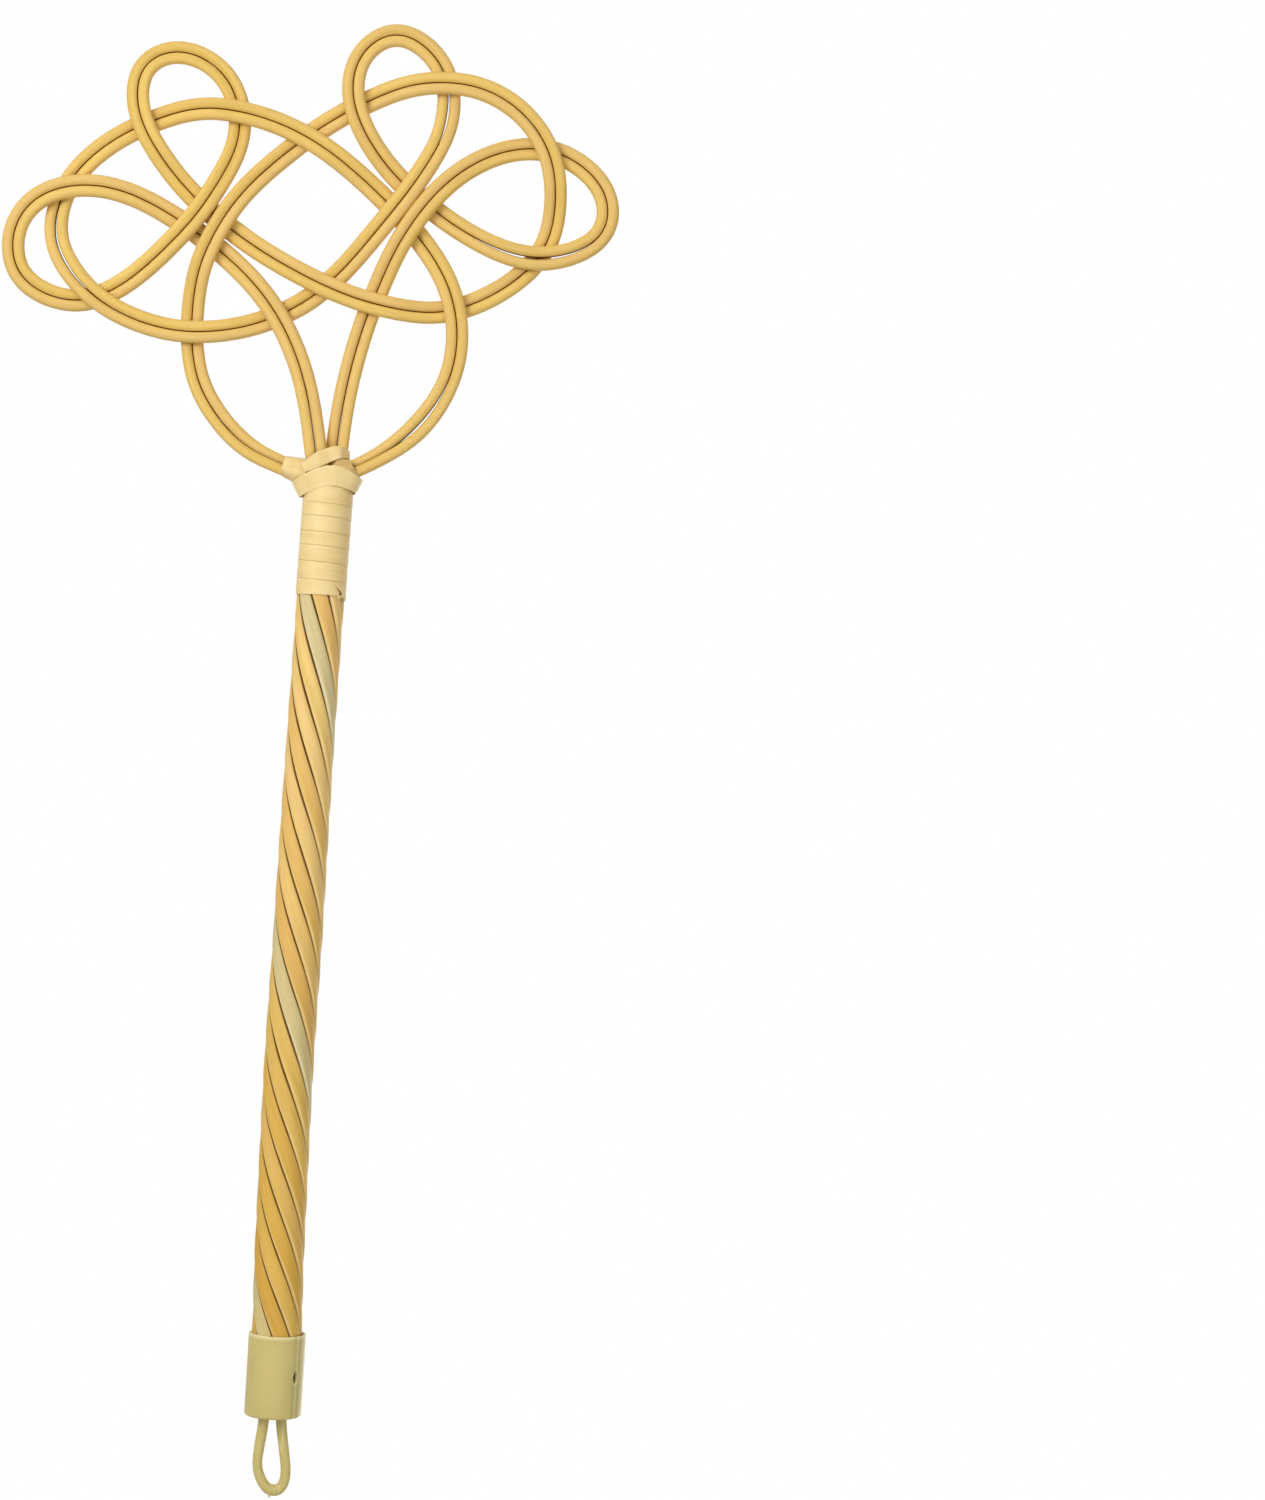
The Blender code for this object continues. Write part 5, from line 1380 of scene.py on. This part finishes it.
def cap_tools():
    """What is joined to the cup, and the hole that is cut from it: a name, a mesh and an operation each."""
    reach = (CAP_BORE_RADIUS + CAP_DIAMETER / 2) / 2
    wide, high = NAIL_HOLE_WIDTH / 2, NAIL_HOLE_HEIGHT / 2
    hole = (
        (HANDLE_DIAMETER / 2, wide, high),
        (CAP_DIAMETER / 2 - HOLE_SPLAY_DEPTH, wide, high),
        (CAP_DIAMETER, wide + HOLE_SPLAY, high + HOLE_SPLAY),
    )
    return (
        ("bar", recess_bar(reach, CAP_BAR_WIDTH / 2, CAP_END_Z - CAP_BAR_INSET), "UNION"),
        ("rib", recess_bar(CAP_RIB_WIDTH / 2, reach, CAP_FLOOR_TOP_Z + CAP_RIB_DEPTH), "UNION"),
        ("loop", tube(loop_rings()), "UNION"),
        ("nub", tube(nub_rings()), "UNION"),
        ("hole", tube(nail_rings(hole, NAIL_HOLE_SIDES)), "DIFFERENCE"),
    )


def draw_cap():
    """The end cap: cup, recessed end with its cross bar and rib, and the hanging loop, in one moulding."""
    cup = turned(cap_profile(), CAP_SEGMENTS, mould_lines)
    bmesh.ops.translate(cup, vec=(HOOK_OFFSET, 0.0, 0.0), verts=cup.verts)
    cap = mesh_object("end_cap_fine", cup)
    helpers = []
    for name, maker, operation in cap_tools():
        helpers.append(mesh_object(name, maker))
        combine(cap, helpers[-1], operation)
    piece = plain_mesh(cap, "end_cap_fine")
    for helper in helpers:
        bpy.data.objects.remove(helper, do_unlink=True)
    piece.data.set_sharp_from_angle(angle=CAP_SHARP_ANGLE)
    piece.data.materials.clear()
    piece.data.materials.append(CAP_PLASTIC)
    return dress(piece, "cap", "end_cap")


def draw_nail():
    """The nail with its low domed head."""
    shank, head = NAIL_SHANK_DIAMETER / 2, NAIL_HEAD_DIAMETER / 2
    under = HANDLE_DIAMETER / 2 + NAIL_RISE
    tip = under - NAIL_LENGTH
    places = [(tip, shank * NAIL_TIP_SHARE), (tip + NAIL_SHANK_DIAMETER, shank), (under, shank)]
    places += [(under, head * NAIL_HEAD_UNDER_SHARE)]
    for lift in np.linspace(NAIL_DOME_FROM_SHARE, 1.0, NAIL_DOME_RINGS):
        reach = head * math.sqrt(1 - (lift * NAIL_DOME_TO_SHARE) ** 2)
        places.append((under + NAIL_HEAD_THICKNESS * lift, reach))
    stations = [(distance, reach, reach) for distance, reach in places]
    nail = mesh_object("cap_nail_fine", tube(nail_rings(stations, NAIL_SIDES)))
    piece = plain_mesh(nail, "cap_nail_fine")
    piece.data.materials.append(STEEL)
    return dress(piece, "nail", "cap_nail")


# The stage, the light and the camera

CAMERA_CENTRE = (-0.1503, -0.3592)  # X and Z
CAMERA_DISTANCE = 1.6
CAMERA_ROLL = math.radians(3.449)  # the handle's slant in the picture, which has the head at its top
VIEW_HEIGHT = 0.71325  # at the object
SENSOR_HEIGHT = 36.0
FLOOR_Z = -1.15
FLOOR_REACH = 6.0
FLOOR_NEAR_LEVEL = 0.75  # how much of its look is plain white under the object
FLOOR_WHITE_FROM = 1.2  # between these two distances from the hook that grows to all of it
FLOOR_WHITE_TO = 1.7
WORLD_LEVEL = 0.43
WHITE = (1.0, 1.0, 1.0, 1.0)
LAMPS = (
    # name, place, size, watts
    ("key_light", (0.75, -1.25, -0.95), 0.7, 15.0),
    ("front_fill", (-0.7, -1.7, -0.15), 1.4, 6.5),
    ("back_fill", (-0.5, 1.6, 0.3), 1.4, 14.0),
)
LIT_POINT = (0.0, 0.0, -0.5)


def bright_to_camera(graph, strength):
    """The given strength for rays from the camera, or by way of shine or glass, and 0 for all others."""
    path = graph.add("ShaderNodeLightPath")
    labels = ("Is Camera Ray", "Is Glossy Ray", "Is Transmission Ray")
    camera, glossy, clear = (Signal(graph, path.outputs[label]) for label in labels)
    return camera.maths("MAXIMUM", glossy).maths("MAXIMUM", clear) * strength


def set_stage():
    """A pale floor that turns white with its distance from the hook."""
    maker = bmesh.new()
    bmesh.ops.create_grid(maker, x_segments=1, y_segments=1, size=FLOOR_REACH)
    bmesh.ops.translate(maker, vec=(0.0, 0.0, FLOOR_Z), verts=maker.verts)
    mesh = bpy.data.meshes.new("studio_floor")
    maker.to_mesh(mesh)
    maker.free()
    made, graph, shader = finish("pale_floor", base_color=(0.9, 0.9, 0.9, 1.0), roughness=0.8)
    glow = graph.node("ShaderNodeEmission", None, {"Color": WHITE, "Strength": 1.0})
    distance = graph.node("ShaderNodeVectorMath", {"operation": "LENGTH"}, {0: graph.place()}, output=1)
    whiter = distance.rise(FLOOR_WHITE_FROM, FLOOR_WHITE_TO)
    share = bright_to_camera(graph, FLOOR_NEAR_LEVEL + (1 - FLOOR_NEAR_LEVEL) * whiter)
    both = graph.node("ShaderNodeMixShader", None, {0: share, 1: Signal(graph, shader.outputs[0]), 2: glow})
    graph.tree.links.new(both.socket, made.node_tree.nodes["Material Output"].inputs["Surface"])
    mesh.materials.append(made)
    placed("studio_floor", mesh)


def set_world():
    """A white surround to look at, which lights the object at a plain level."""
    world = bpy.data.worlds.new("studio")
    bpy.context.scene.world = world
    world.use_nodes = True
    graph = Graph(world.node_tree)
    strength = bright_to_camera(graph, 1 - WORLD_LEVEL) + WORLD_LEVEL
    graph.tree.links.new(strength.socket, world.node_tree.nodes["Background"].inputs["Strength"])
    world.node_tree.nodes["Background"].inputs["Color"].default_value = WHITE


def aimed(place, target):
    """A turn that points a lamp from its place at the target."""
    away = unit(np.array(place) - np.array(target))
    side = unit(np.cross([0.0, 0.0, 1.0], away))
    return Matrix(np.column_stack([side, np.cross(away, side), away]).tolist()).to_4x4()


def set_lamps():
    for name, place, size, watts in LAMPS:
        lamp = bpy.data.lights.new(name, "AREA")
        lamp.size, lamp.energy = size, watts
        made = placed(name, lamp)
        made.matrix_world = Matrix.Translation(place) @ aimed(place, LIT_POINT)
        made.visible_camera = False


def set_camera():
    camera = bpy.data.cameras.new("camera")
    camera.sensor_fit = "VERTICAL"
    camera.sensor_height = SENSOR_HEIGHT
    camera.lens = SENSOR_HEIGHT * CAMERA_DISTANCE / VIEW_HEIGHT
    made = placed("camera", camera)
    right = (-math.cos(CAMERA_ROLL), 0.0, -math.sin(CAMERA_ROLL))
    up = (math.sin(CAMERA_ROLL), 0.0, -math.cos(CAMERA_ROLL))
    turn = Matrix(np.column_stack([right, up, (0.0, -1.0, 0.0)]).tolist()).to_4x4()
    made.matrix_world = Matrix.Translation((CAMERA_CENTRE[0], -CAMERA_DISTANCE, CAMERA_CENTRE[1])) @ turn
    bpy.context.scene.camera = made


# The materials and the pieces

SKIN_TREE = skin_tree()
GOLDEN_CANE = cane_finish(
    "golden_cane",
    light=(0.80, 0.55, 0.150, 1.0),
    deep=(0.70, 0.455, 0.105, 1.0),
    warm=(0.75, 0.495, 0.170, 1.0),
    flank_shade=(0.62, 0.36, 0.075, 1.0),
    edge=(0.90, 0.68, 0.30, 1.0),
    seam_shade=(0.11, 0.036, 0.001, 1.0),
    neck_end_light=(1.12, 1.14, 1.45, 1.0),
    shade_and_tone_tint=(0.95, 0.88, 0.68, 1.0),
)
PALE_CANE = cane_finish(
    "pale_cane",
    light=(0.70, 0.60, 0.29, 1.0),
    deep=(0.61, 0.50, 0.22, 1.0),
    warm=(0.70, 0.55, 0.26, 1.0),
    flank_shade=(0.50, 0.40, 0.15, 1.0),
    edge=(0.88, 0.80, 0.48, 1.0),
    seam_shade=(0.12, 0.050, 0.003, 1.0),
    neck_end_light=(1.0, 1.0, 1.05, 1.0),
    shade_and_tone_tint=(0.97, 0.95, 0.86, 1.0),
)
STRIP = strip_finish(
    "split_cane_strip",
    light=(0.85, 0.65, 0.295, 1.0),
    deep=(0.80, 0.58, 0.235, 1.0),
    line=(0.44, 0.33, 0.17, 1.0),
    lashing_start_shade=(0.46, 0.27, 0.07, 1.0),
)
CAP_PLASTIC = cap_finish(
    "cap_plastic",
    body_colour=(0.62, 0.51, 0.18, 1.0),
    pale=(0.78, 0.70, 0.36, 1.0),
    deep=(0.54, 0.44, 0.135, 1.0),
    shaded=(0.40, 0.36, 0.10, 1.0),
)
CORE_WOOD = wood_finish("core_wood", light=(0.55, 0.36, 0.18, 1.0), dark=(0.34, 0.20, 0.09, 1.0))
STEEL = steel_finish("nail_steel", bright=(0.12, 0.08, 0.05, 1.0), dull=(0.05, 0.03, 0.02, 1.0))

canes_near_neck = draw_canes()
binding_points = draw_binding()
draw_lashing(np.concatenate([canes_near_neck, binding_points]))
draw_cap()
draw_nail()
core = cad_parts["handle_core"]
core.data.materials.clear()
core.data.materials.append(CORE_WOOD)

set_stage()
set_world()
set_lamps()
set_camera()
bpy.context.scene.view_settings.view_transform = "Standard"
